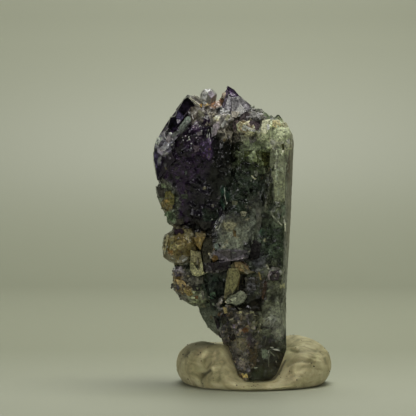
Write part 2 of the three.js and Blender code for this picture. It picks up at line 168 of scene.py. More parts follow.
@dataclass
class Wiring:
    """A shader's node tree, whose inputs are given as a socket, a value, or None to stay as they are."""

    tree: bpy.types.NodeTree

    def add(self, kind: str, settings: dict | None = None, inputs: dict | None = None) -> bpy.types.Node:
        """Adds a node.

        Args:
            kind: The node's type name, without its ShaderNode.
            settings: Its properties.
            inputs: What its inputs are given, by name or number.

        Returns:
            The new node.
        """
        given = {key: value for key, value in (inputs or {}).items() if value is not None}
        links = {key: value for key, value in given.items() if isinstance(value, bpy.types.NodeSocket)}
        values = {key: value for key, value in given.items() if key not in links}
        return add_node(self.tree, "ShaderNode" + kind, {**(settings or {}), **values}, links)

    def read(self, name: str, output: str = "Fac") -> bpy.types.NodeSocket:
        """Reads an attribute of the mesh."""
        return self.add("Attribute", {"attribute_name": name}).outputs[output]

    def math(self, operation: str, *inputs: object) -> bpy.types.NodeSocket:
        """Reckons with numbers, given in the order of the node's inputs."""
        return self.add("Math", {"operation": operation}, dict(enumerate(inputs))).outputs[0]

    def vector(self, operation: str, *inputs: object) -> bpy.types.NodeSocket:
        """Reckons with vectors, given in the order of the node's inputs, a scale last of four."""
        return self.add("VectorMath", {"operation": operation}, dict(enumerate(inputs))).outputs[0]

    def ranged(self, value: bpy.types.NodeSocket, start: float, end: float, low: float = 0.0,
               high: float = 1.0) -> bpy.types.NodeSocket:
        """Turns a value from start to end into one from low to high."""
        limits = {"Value": value, "From Min": start, "From Max": end, "To Min": low, "To Max": high}
        return self.add("MapRange", inputs=limits).outputs["Result"]

    def noise(self, place: bpy.types.NodeSocket, width: float, detail: float = 2.0, roughness: float = 0.5,
              distortion: float = 0.0) -> bpy.types.bpy_prop_collection:
        """Adds noise.

        Args:
            place: Where it is read.
            width: How wide its patches are, in mm.
            detail: How many finer layers it has.
            roughness: How strong the finer layers are.
            distortion: How much its patches are bent.

        Returns:
            Its outputs.
        """
        inputs = {"Vector": place, "Scale": 1 / (width * MM), "Detail": detail, "Roughness": roughness,
                  "Distortion": distortion}
        return self.add("TexNoise", inputs=inputs).outputs

    def mix(self, share: object, first: object, second: object) -> bpy.types.NodeSocket:
        """Mixes two colours, more of the second where the share is large."""
        return self.add("Mix", {"data_type": "RGBA"}, {0: share, 6: first, 7: second}).outputs[2]

    def close(self, surface: bpy.types.Node, absorption: str | None = None, density: float = 0.0) -> None:
        """Ends the tree.

        Args:
            surface: The node of the surface.
            absorption: The colour that light takes on inside, where it takes on one.
            density: How fast it does, a metre.
        """
        volume = None
        if absorption:
            inside = self.add("VolumeAbsorption", inputs={"Color": linear(absorption), "Density": density})
            volume = inside.outputs["Volume"]
        self.add("OutputMaterial", inputs={"Surface": surface.outputs["BSDF"], "Volume": volume})


def new_material(name: str) -> tuple[bpy.types.Material, Wiring]:
    """Starts a material.

    Args:
        name: Its name.

    Returns:
        The material, and its empty tree to wire up.
    """
    material = bpy.data.materials.new(name)
    material.use_nodes = True
    material.node_tree.nodes.clear()
    return material, Wiring(material.node_tree)


def in_plane(column: float, row: float) -> tuple[float, float]:
    """Gives a pixel's across and up in the middle plane, in mm."""
    return (column - MIDDLE_PIXEL) * PIXEL, (FLOOR_PIXEL - row) * PIXEL


def sighted(tree: BVHTree, across: float, up: float) -> tuple[Vector | None, Vector | None]:
    """Follows a line of sight to the stone.

    Args:
        tree: The stone's surface, in mm.
        across: Where the line crosses the middle plane, in mm.
        up: Its height there, in mm.

    Returns:
        The place that it meets and the normal there, or None twice.
    """
    return tree.ray_cast(EYE, (Vector((across, 0, up)) - EYE).normalized())[:2]


def shown_lift(clear: np.ndarray | float) -> np.ndarray | float:
    """Tells how much a shown colour is lifted, more where the stone is clear and shows less of its own."""
    return SHOWN_LIFT / (1.0 - CLEAR_LOSS * clear)


def hashed(cells: np.ndarray, salt: int) -> np.ndarray:
    """Gives each whole-numbered cell its own random number, the same on each run.

    Args:
        cells: Cell numbers, the last axis holding three.
        salt: Tells one pattern from another.

    Returns:
        Numbers from 0 to 1.
    """
    mixed = (cells[..., 0] * 73856093) ^ (cells[..., 1] * 19349663) ^ (cells[..., 2] * 83492791)
    mixed = (mixed ^ (salt * 40503001)) & 0xFFFFFFFF
    mixed = ((mixed ^ (mixed >> 15)) * 73244475) & 0xFFFFFFFF
    mixed = ((mixed ^ (mixed >> 13)) * 73244475) & 0xFFFFFFFF
    return ((mixed ^ (mixed >> 16)) & 0xFFFFFF) / 0x1000000


def soft_noise(places: np.ndarray, width: float, salt: int, octaves: int = 3) -> np.ndarray:
    """Gives smooth noise.

    Args:
        places: Places in mm, a row each.
        width: The width of its largest patches, in mm.
        salt: Tells one pattern from another.
        octaves: How many ever finer layers it has.

    Returns:
        Heights from about -1 to 1.
    """
    total = np.zeros(len(places))
    for octave in range(octaves):
        scaled = places * 2 ** octave / width + 17.3 * octave
        base = np.floor(scaled).astype(np.int64)
        share = scaled - base
        share = share * share * (3 - 2 * share)
        value = np.zeros(len(places))
        for step in np.ndindex(2, 2, 2):
            weight = np.prod(np.where(np.array(step), share, 1 - share), axis=1)
            value += weight * hashed(base + np.array(step), salt + octave)
        total += (value * 2 - 1) / 1.7 ** octave
    return total / 1.3


def crystal_cells(places: np.ndarray, width: float, salt: int) -> tuple[np.ndarray, np.ndarray, np.ndarray]:
    """Divides space into grains with octahedral distances, on the crystal's own lattice.

    Args:
        places: Places in mm, a row each.
        width: The grain's width in mm.
        salt: Tells one pattern from another.

    Returns:
        The distance to the nearest grain's centre in widths, the centres in mm, and a random number of
        each grain.
    """
    turned = places @ LATTICE.T / width
    base = np.floor(turned).astype(np.int64)
    nearest = np.full(len(places), 9.0)
    centres = np.zeros_like(turned)
    chosen = np.zeros(len(places))
    for step in np.ndindex(3, 3, 3):
        cell = base + np.array(step) - 1
        centre = cell + np.stack([hashed(cell, salt + k) for k in range(3)], axis=1)
        distance = np.abs(turned - centre).sum(axis=1)
        closer = distance < nearest
        nearest[closer] = distance[closer]
        centres[closer] = centre[closer]
        chosen[closer] = hashed(cell, salt + 3)[closer]
    return nearest, centres @ LATTICE * width, chosen


@dataclass(frozen=True)
class Zone:
    """A stretch of the stone with a look of its own, as it is seen from the front, in pixels."""

    name: str
    column: float
    row: float
    half_width: float
    half_height: float
    colour: str
    clear: float = 0.45
    frost: float = 0.3
    relief: float = 0.4
    mosaic: float = 0.04
    turn: float = 0.0
    skin: bool = False
    strength: float = 0.92

    def share(self, column: np.ndarray, row: np.ndarray, depth: np.ndarray) -> np.ndarray:
        """Gives how much of the zone's look each place takes.

        Args:
            column: The places' columns.
            row: The places' rows.
            depth: How far behind the middle plane they lie, in mm.

        Returns:
            A share from 0 to 1 for each place.
        """
        cosine = math.cos(math.radians(self.turn))
        sine = math.sin(math.radians(self.turn))
        aside = (column - self.column) * cosine - (row - self.row) * sine
        along = (column - self.column) * sine + (row - self.row) * cosine
        far = np.hypot(aside / self.half_width, along / self.half_height)
        share = self.strength * np.clip((1.22 - far) / 0.42, 0, 1)
        if self.skin:
            share = share * np.clip((1.5 - depth) / 2.0, 0, 1)
        return share


# Each zone's name, middle, half sizes and colour, then how clear, frosted, rough and mixed it is.
ZONES = (
    Zone("purple crystal", 190, 165, 42, 76, "#1B1023", 0.5, 0.1, 0.16, 0.03),
    Zone("purple crystal foot", 206, 206, 19, 32, "#100E14", 0.45, 0.1, 0.16),
    Zone("black middle", 226, 166, 18, 38, "#0A0B08", 0.5, 0.08, 0.04),
    Zone("upper green", 258, 158, 24, 20, "#262B1C", 0.55),
    Zone("pale shoulder", 270, 140, 26, 19, "#A8AE8E", 0.25, 0.6, 0.2, 0.05),
    Zone("pale crown", 281, 131, 15, 12, "#92987C", 0.2, 0.75, 0.2, 0.05),
    Zone("pale fade", 256, 150, 15, 10, "#626A52", 0.35, 0.4),
    Zone("olive glow", 263, 158, 9, 9, "#464C32", 0.5),
    Zone("frosted finger", 279, 176, 7, 28, "#969D88", 0.3, 0.6, 0.3, skin=True),
    Zone("right cleavage", 292, 210, 5, 90, "#605E50", 0.2, 0.7, 0.2),
    Zone("rusty streak on it", 290, 166, 2.5, 17, "#3E3226", 0.1, 0.7, skin=True),
    Zone("shade beside finger", 268, 190, 5, 24, "#33342B", 0.4),
    Zone("deep green middle", 244, 192, 21, 24, "#1E241E", 0.65, 0.15, 0.45),
    Zone("green streak", 224, 197, 3.5, 11, "#1C3028", 0.6, 0.3, 0.3),
    Zone("grey veil", 256, 206, 9, 10, "#34362F", 0.4, 0.5),
    Zone("slab top", 236, 228, 18, 12, "#42443A", 0.3, 0.6, 0.5, 0.25),
    Zone("slab middle", 238, 243, 20, 15, "#666A5E", 0.3, 0.6, 0.5, 0.25),
    Zone("slab ridges", 229, 227, 7, 5, "#74735C", 0.15, 0.7, 0.9, skin=True),
    Zone("slab right", 254, 230, 8, 17, "#4E524A", 0.4, 0.4, 0.6),
    Zone("slab lilac rim", 231, 256, 20, 6, "#665F6A", 0.3, 0.5, 0.6, skin=True),
    Zone("step beside slab", 248, 250, 4, 10, "#1B1B1C", 0.5, 0.1, skin=True),
    Zone("lilac beside slab", 259, 256, 9, 11, "#26272A", 0.4, 0.4),
    Zone("lower right green", 271, 240, 13, 20, "#2A3227", 0.55, 0.25, 0.25),
    Zone("emerald spark", 261, 233, 3, 4, "#2A3C30", 0.6, skin=True),
    Zone("diamond plate", 277, 215, 8, 11, "#495043", 0.4, 0.5, 0.2, skin=True),
    Zone("lower right body", 270, 298, 15, 34, "#46483B", 0.4, 0.4, 0.3),
    Zone("pale lower right", 279, 318, 8, 22, "#5E6154", 0.35, 0.5, 0.25),
    Zone("rust vein", 262, 292, 4, 15, "#1E180E", 0.2, 0.3, 0.4, 0.2, skin=True),
    Zone("rust fleck", 256, 277, 2, 6, "#3A3224", 0.1, skin=True),
    # Near black: painted shade in a hollow.
    Zone("hollow above block", 251, 303, 10, 9, "#12110D", 0.5, 0.1, skin=True),
    Zone("purple brown under slab", 245, 284, 10, 10, "#262422", 0.3, 0.3, 0.4, 0.3),
    Zone("glassy foot", 268, 362, 18, 22, "#14130A", 0.12, 0.15, 0.2),
    Zone("foot patch", 265, 353, 4, 5, "#363C33", 0.3, 0.6, skin=True),
    Zone("foot gleam", 275.5, 349.5, 4.5, 1.3, "#3D4236", 0, 0.3, 0, turn=-12, skin=True),
    Zone("foot green", 262, 371, 10, 6, "#1A1D15", 0.6, 0.2),
    Zone("lower block", 237, 342, 21, 36, "#2B2A21", 0.15, 0.6, 1, 0.7),
    Zone("block lilac", 222, 303, 7, 7, "#827E7C", 0.2, 0.5, 0.8, 0.5, skin=True),
    Zone("block crest", 243, 314, 15, 4, "#3C3A30", 0.1, 0.7, 0.9, 0.5, skin=True),
    Zone("orange spot", 245, 330, 3, 3, "#4E3214", 0.05, 0.3, 0.4, 0.1, skin=True),
    Zone("block green", 256, 326, 6, 13, "#38392A", 0.4, 0.3, 0.4, 0.3, skin=True),
    Zone("block dome", 240, 347, 8, 8, "#393629", 0.15, 0.6, 0.4, 0.3, skin=True),
    Zone("block purple", 251, 342, 4, 5, "#45384E", 0.3, 0.3, 0.4, 0.3, skin=True),
    Zone("block left dark", 222, 322, 6, 10, "#2A262E", 0.4, 0.1, 0.4, 0.4, skin=True),
    # Near black: painted shade in a hollow.
    Zone("block hollow", 231, 337, 4, 4, "#151418", 0.4, 0.1, skin=True),
    Zone("block brown", 252, 353, 5, 15, "#16120A", 0.2, 0.3, 0.4, 0.5, skin=True),
    Zone("block low lilac", 238, 364, 6, 9, "#28251F", 0.15, 0.6, 0.4, 0.6, skin=True),
    Zone("cream tip", 245, 376, 5, 4, "#60533A", 0.05, 0.3, 0.4, 0.2, skin=True),
    Zone("left knob", 165, 206, 13, 24, "#42473A", 0.4, 0.4, 0.35, 0.15),
    Zone("knob top", 160, 187, 7, 8, "#34322E", 0.4, 0.3, 0.5, 0.3),
    Zone("knob orange", 168, 204, 6, 6, "#6A5C36", 0.15, 0.3, 0.4, 0.3, skin=True),
    Zone("knob green", 169, 217, 7, 6, "#44523E", 0.5),
    Zone("shade under crystal", 200, 232, 14, 12, "#141211", 0.5, 0.1),
    Zone("honey neck", 177, 231, 13, 6, "#4E4836", 0.3, 0.3, 0.4, 0.4),
    Zone("honey crystal", 178, 247, 15, 15, "#7E7450", 0.3, 0.4),
    Zone("honey brown", 180, 243, 4, 4, "#52482C", 0.4),
    Zone("honey pale", 173, 244, 5, 5, "#84805C", 0.4),
    Zone("honey orange", 171, 253, 3, 3.5, "#8A602F", 0.3),
    Zone("honey lower lobe", 184, 260, 5, 4.5, "#BEBA9C", 0.4, skin=True),
    Zone("honey dark rim", 164.5, 246, 2.2, 12, "#6A6F60", 0.5),
    Zone("tan wedge", 201, 239, 5, 7, "#6A5A36", 0.1, skin=True),
    Zone("brown mid", 207, 248, 7, 12, "#4E4A42", 0.3, 0.3, 0.4, 0.4),
    Zone("orange bits", 215, 258, 4, 3, "#503C1C", 0.05, 0.3, 0.4, 0.3, skin=True),
    Zone("purple band", 214, 267, 15, 5, "#363136", 0.4, 0.2, 0.8, 0.3),
    Zone("crumbly lump", 183, 286, 14, 17, "#5C5A54", 0.15, 0.6, 1, 0.6),
    Zone("crumbly orange", 177, 279, 6, 4, "#7E6A44", 0.05, 0.3, 1, 0.4, skin=True),
    Zone("crumbly tan", 184, 289, 8, 4, "#766442", 0.05, 0.3, 1, 0.4, skin=True),
    Zone("crumbly purple", 178, 272, 6, 4, "#7C7680", 0.2, 0.3, 1, 0.4, skin=True),
    Zone("grey neck", 197, 297, 9, 9, "#767A64", 0.4, 0.5, 0.5),
    Zone("emerald window", 213, 288, 10, 14, "#18201C", 0.75, 0.05, 0.1),
    Zone("window glow", 213, 298, 4, 6, "#1A2C22", 0.7, 0.1, 0.1),
    Zone("rear slab", 208, 322, 13, 17, "#4C5246", 0.24, 0.5, 0.3),
    Zone("summit bed", 203, 116, 16, 10, "#544E48", 0.2, 0.6, 0.8, 0.5),
    Zone("summit grey", 224, 120, 13, 8, "#6E6A68", 0.3, 0.6, 0.5, 0.3),
    Zone("summit shade", 232, 134, 16, 8, "#4E4A44", 0.4, 0.3, 0.4, 0.3),
    Zone("rusty summit", 215, 101, 7, 6, "#7E5E48", 0.1, 0.3, 0.8, 0.4),
    Zone("cream grain", 206, 103, 3, 2.5, "#B39A60", 0.05, 0.3, 0.4, 0, skin=True),
    Zone("pale grain", 217, 118, 3, 3, "#A9A285", 0.05, 0.3, 0.4, 0, skin=True),
    Zone("peak face", 237, 106, 11, 9, "#4A484E", 0.45, 0.35, 0.05, 0),
    Zone("peak tip", 230, 91, 6, 6, "#2A2032", 0.6, 0.15, 0.05),
    Zone("peak right rim", 247, 104, 3, 4, "#3A3240", 0.6, 0.15, 0.05),
    Zone("granular block", 257, 117, 10, 9, "#565452", 0.3, 0.4, 1, 0.4),
    Zone("block gap", 244, 117, 4, 4, "#2E2830", 0.4, 0.3, 0.4, 0.3),
    Zone("cream crust", 246, 126, 8, 6, "#74694F", 0.1, 0.7, 0.5, 0.4, skin=True),
    Zone("crust rust", 239, 128, 2.5, 3, "#6A5642", 0.1, 0.3, 0.4, 0.3, skin=True),
    Zone("upper left face", 178, 112, 9, 19, "#1C0F2A", 0.7, 0.05, 0.03, turn=-32),
    Zone("upper left window", 177, 119, 4.5, 4, "#4A4266", 0.75, 0.1, 0.05, turn=-32),
    Zone("crest grey", 192, 98, 5, 3, "#625F62", 0.3, 0.5, 0.3),
    Zone("striped facet", 197, 103, 5, 5, "#625E58", 0.3, 0.5, 0.3),
    Zone("ledge", 184, 124, 3, 10, "#585D58", 0.35, 0.4, 0.15, turn=-35, skin=True),
    # The ledge foot, the lilac facet and the violet rim are grey-lilac stone, made paler as painted
    # highlights.
    Zone("ledge foot", 172, 136, 5, 3.5, "#86848A", 0.4, 0.4, 0.15, turn=-35, skin=True),
    Zone("lilac facet", 163, 143, 9, 8, "#8C8B96", 0.4, 0.3, 0.2, skin=True),
    Zone("violet rim", 163, 153, 8, 3.5, "#A098B4", 0.5, 0.3, 0.2, skin=True),
    Zone("second crystal", 156, 166, 5, 17, "#221C2C", 0.6, 0.2, 0.2),
    # Grey-lilac stone, made paler as a painted highlight.
    Zone("violet in second crystal", 158, 162, 2, 5, "#8A86A0", 0.6, skin=True),
    Zone("v notch", 207, 120, 3.5, 6, "#160E20", 0.5, 0.1, skin=True),
    Zone("pinkish gleam", 197, 126, 5, 5, "#4C3D54", 0.5, 0.4, 1, 0.3, skin=True),
    Zone("violet glow", 208, 157, 5.5, 8, "#2A1C36", 0.6, 0.3, 0.6, 0.15, skin=True),
    Zone("violet glow above", 207, 143, 4, 6, "#42364E", 0.6, 0.2, 0.4, 0.15, skin=True),
)

SPECKS = ("#807A62", "#2C2632", "#121110", "#4E3C20", "#625E66", "#55534A", "#24231F", "#403D34")


@dataclass(frozen=True)
class Look:
    """What the stone looks like at each of many places."""

    tint: np.ndarray
    clear: np.ndarray
    frost: np.ndarray
    relief: np.ndarray
    mosaic: np.ndarray

    def tinted(self, tint: np.ndarray) -> "Look":
        """Gives the same look in another tint."""
        return replace(self, tint=tint)

    @classmethod
    def at(cls: type["Look"], places: np.ndarray, base: str = "#23271E") -> "Look":
        """Reads the zones, whose borders follow the grains of the stone.

        Args:
            places: Places in mm, a row each.
            base: The colour where no zone lies.

        Returns:
            The look.
        """
        _, centres, _ = crystal_cells(places, 0.5, 61)
        _, bits, chosen = crystal_cells(places, 0.42, 71)
        wander = np.stack([soft_noise(places, 1.4, 81 + k) for k in range(3)], axis=1)
        column, row = pixels(places * 0.35 + centres * 0.65 + 0.34 * wander)
        tint = np.tile(np.array(linear(base)[:3]), (len(places), 1))
        values = np.tile(np.array([0.5, 0.3, 0.3, 0.04]), (len(places), 1))
        for zone in ZONES:
            share = zone.share(column, row, places[:, 1])[:, None]
            tint = tint * (1 - share) + np.array(linear(zone.colour)[:3]) * share
            own = np.array([zone.clear, zone.frost, zone.relief, zone.mosaic])
            values = values * (1 - share) + own * share
        clear, frost, relief, mosaic = values.T
        palette = np.array([linear(c)[:3] for c in SPECKS])
        fleck = palette[np.minimum((chosen * len(SPECKS)).astype(int), len(SPECKS) - 1)]
        show = (hashed(np.floor(bits * 9).astype(np.int64), 5) < 0.75 * mosaic)[:, None]
        tint = np.where(show, 0.4 * tint + 0.6 * fleck, tint)
        shade = 1 + 0.3 * soft_noise(places, 0.9, 91)
        tint = np.minimum(tint * (shade * shown_lift(clear))[:, None], PALEST)
        return cls(tint, clear, frost, relief, mosaic)


def write(mesh: bpy.types.Mesh, name: str, values: np.ndarray) -> None:
    """Writes a number at each of a mesh's vertices."""
    mesh.attributes.new(name, "FLOAT", "POINT").data.foreach_set("value", values)


def write_tint(mesh: bpy.types.Mesh, tint: np.ndarray) -> None:
    """Writes the tint at each of a mesh's vertices."""
    colours = np.concatenate([tint, np.ones((len(tint), 1))], axis=1)
    mesh.attributes.new(TINT, "FLOAT_COLOR", "POINT").data.foreach_set("color", colours.ravel())


def paint(mesh: bpy.types.Mesh, look: Look) -> None:
    """Writes a look into a mesh for its material to read.

    Args:
        mesh: The mesh, in metres.
        look: The look at its vertices.
    """
    write_tint(mesh, look.tint)
    places = places_of(mesh) / MM
    clean = np.clip((CLEAN_COLUMN - pixels(places)[0]) / 2, 0, 1)
    sown_grit = np.clip(look.mosaic * 1.6 - 0.25, 0, 1)
    sown_clear = np.clip(look.relief * 1.5 - 0.35, 0, 1) * (1 - sown_grit) * (look.frost < 0.45)
    patches = np.clip(0.55 + 1.4 * soft_noise(places, 2.4, 31), 0.1, 1.3)
    write(mesh, CLEAR, look.clear)
    write(mesh, FROST, look.frost)
    write(mesh, SOWN_CLEAR, sown_clear * clean)
    write(mesh, SOWN_GRIT, sown_grit * clean)
    write(mesh, PITTED, np.clip(look.relief * patches, 0, 1))


def places_of(mesh: bpy.types.Mesh) -> np.ndarray:
    """Gives a mesh's vertices, a row each."""
    places = np.empty(len(mesh.vertices) * 3)
    mesh.vertices.foreach_get("co", places)
    return places.reshape(-1, 3)


def normals_of(mesh: bpy.types.Mesh) -> np.ndarray:
    """Gives the normals at a mesh's vertices, a row each."""
    normals = np.empty(len(mesh.vertices) * 3)
    mesh.vertex_normals.foreach_get("vector", normals)
    return normals.reshape(-1, 3)


def paint_edge_highlights_and_hollow_shade(mesh: bpy.types.Mesh, tint: np.ndarray, pale: str = "#B4B6A6") -> np.ndarray:
    """Paints highlights onto a mesh's sharp edges, standing in for light through thin stone, and paints
    shade into its hollows.

    Args:
        mesh: The mesh, in metres.
        tint: The tint at its vertices.
        pale: What the painted edge highlights go towards.

    Returns:
        The new tint.
    """
    places = places_of(mesh) / MM
    normals = normals_of(mesh)
    ends = np.empty(len(mesh.edges) * 2, dtype=np.int32)
    mesh.edges.foreach_get("vertices", ends)
    first, second = ends.reshape(-1, 2).T
    along = places[second] - places[first]
    length_squared = np.maximum((along ** 2).sum(axis=1), 1e-6)
    bend = ((normals[second] - normals[first]) * along).sum(axis=1) / length_squared
    total = np.bincount(first, bend, len(places)) + np.bincount(second, bend, len(places))
    bend = total / np.maximum(np.bincount(ends, minlength=len(places)), 1)
    some = np.clip(0.5 + soft_noise(places, 1.6, 161), 0, 1)
    # Convex edges get a painted highlight, and hollows get painted shade.
    rim = (np.clip((bend - 0.7) / 2.2, 0, 1) * some)[:, None]
    hollow = np.clip((-bend - 0.5) / 2.0, 0, 1)[:, None]
    tint = tint * (1 + 1.6 * rim) + 0.12 * rim * np.array(linear(pale)[:3])
    return tint * (1 - 0.6 * hollow)


def place_in_scene(name: str, mesh: bpy.types.Mesh, slot: str) -> bpy.types.Object:
    """Links a finished mesh, which rides on the one body.

    Args:
        name: The piece's name.
        mesh: Its mesh, in metres.
        slot: Which imported part is hidden: the specimen for fluorite, else the putty ring.

    Returns:
        The object.
    """
    piece = bpy.data.objects.new(name, mesh)
    bpy.context.scene.collection.objects.link(piece)
    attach(piece, "root")
    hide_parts("fluorite_specimen" if slot == "fluorite" else "putty_ring")
    log.info("%s: %d faces", name, len(mesh.polygons))
    return piece


def mesh_of(bm: bmesh.types.BMesh, name: str) -> bpy.types.Mesh:
    """Turns a shape into a mesh.

    Args:
        bm: The shape, which is used up.
        name: The mesh's name.

    Returns:
        The mesh.
    """
    mesh = bpy.data.meshes.new(name)
    bm.to_mesh(mesh)
    bm.free()
    return mesh


def evaluated(carrier: bpy.types.Object, name: str) -> bpy.types.Mesh:
    """Makes a plain mesh of an object with its modifiers, and removes the object.

    Args:
        carrier: The object.
        name: The mesh's name.

    Returns:
        The mesh.
    """
    bpy.context.view_layer.update()
    mesh = bpy.data.meshes.new_from_object(carrier.evaluated_get(bpy.context.evaluated_depsgraph_get()))
    bpy.data.objects.remove(carrier)
    mesh.name = name
    return mesh


def even_mesh(bm: bmesh.types.BMesh, name: str, cell: float) -> bpy.types.Mesh:
    """Meshes a closed shape afresh in even faces, fine enough to be weathered.

    Args:
        bm: The shape in mm, which is used up.
        name: The mesh's name.
        cell: The faces' size in mm.

    Returns:
        The mesh, in mm.
    """
    rough = mesh_of(bm, name + "_rough")
    carrier = bpy.data.objects.new(name + "_rough", rough)
    bpy.context.scene.collection.objects.link(carrier)
    evening = carrier.modifiers.new("evening", "REMESH")
    evening.mode = "VOXEL"
    evening.voxel_size = cell
    mesh = evaluated(carrier, name)
    bpy.data.meshes.remove(rough)
    return mesh


def sharp_mesh(bm: bmesh.types.BMesh, name: str, longest: float) -> bpy.types.Mesh:
    """Splits a closed shape's faces and keeps its edges sharp.

    Args:
        bm: The shape in mm, which is used up.
        name: The mesh's name.
        longest: The longest edge that is left, in mm.

    Returns:
        The mesh, in mm.
    """
    bmesh.ops.triangulate(bm, faces=bm.faces[:])
    for _ in range(8):
        long_edges = [e for e in bm.edges if e.calc_length() > longest]
        if not long_edges:
            break
        bmesh.ops.subdivide_edges(bm, edges=long_edges, cuts=1)
        bmesh.ops.triangulate(bm, faces=[f for f in bm.faces if len(f.verts) > 3])
    return mesh_of(bm, name)


def set_places(mesh: bpy.types.Mesh, places: np.ndarray) -> None:
    """Moves a mesh's vertices to places in mm, and leaves the mesh in metres.

    Args:
        mesh: The mesh.
        places: Places in mm, a row each.
    """
    mesh.vertices.foreach_set("co", (places * MM).ravel())
    mesh.update()


@dataclass
class StoneBody:
    """The whole cluster as it grew in one piece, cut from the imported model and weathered."""

    cell: float = 0.2
    pyramid_width: float = 0.8
    pyramid_height: float = 0.32
    bead_width: float = 0.38
    bead_height: float = 0.13
    step_width: float = 1.7
    step_height: float = 0.16
    # Across and up in mm, how wide it is, and how far it pushes aside and up.
    swellings: tuple[tuple[float, ...], ...] = (
        (4.3, 2.4, 1.7, 0.95, -0.5), (1.5, 0.9, 1.8, 0.0, -0.45), (-1.2, 0.9, 1.5, -0.1, -0.4),
        (-2.7, 2.4, 1.6, -0.55, -0.1))

    def weather(self, places: np.ndarray, normals: np.ndarray, look: Look) -> np.ndarray:
        """Raises small growths and steps, where the stone isn't smooth.

        Args:
            places: Vertices in mm.
            normals: Their normals.
            look: The look there.

        Returns:
            The new places in mm.
        """
        big, _, _ = crystal_cells(places, self.pyramid_width, 11)
        small, _, _ = crystal_cells(places, self.bead_width, 21)
        patches = np.clip(soft_noise(places, 2.4, 31) * 1.6 + 0.6, 0.1, 1.2)
        wander = soft_noise(places, self.step_width, 41)
        steps = np.floor(wander * 4) / 4
        height = self.pyramid_height * (0.5 - big) + self.bead_height * (0.5 - small)
        height = height * look.relief * patches
        height += self.step_height * steps * np.clip(look.relief - 0.1, 0, 1)
        moved = places + normals * height[:, None]
        front = np.clip(-places[:, 1] / 2, 0, 1)
        for across, up, width, push_across, push_up in self.swellings:
            near = np.exp(-((places[:, 0] - across) ** 2 + (places[:, 2] - up) ** 2) / width ** 2) * front
            moved[:, 0] += push_across * near
            moved[:, 2] += push_up * near
        return moved

    def build(self, node: bpy.types.Object) -> bpy.types.Object:
        """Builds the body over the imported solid.

        Args:
            node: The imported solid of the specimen.

        Returns:
            The object.
        """
        bm = bmesh.new()
        bm.from_mesh(node.data)
        bmesh.ops.transform(bm, matrix=Matrix.Scale(1 / MM, 4), verts=bm.verts[:])
        bmesh.ops.remove_doubles(bm, verts=bm.verts[:], dist=0.002)
        mesh = even_mesh(bm, "fluorite_body", self.cell)
        places = places_of(mesh)
        look = Look.at(places)
        moved = self.weather(places, normals_of(mesh), look)
        set_places(mesh, moved)
        # The tint gets painted highlights on its edges and painted shade in its hollows.
        paint(mesh, look.tinted(paint_edge_highlights_and_hollow_shade(mesh, look.tint)))
        mesh.materials.append(CleavedFluorite().make())
        return place_in_scene("fluorite_body", mesh, "fluorite")


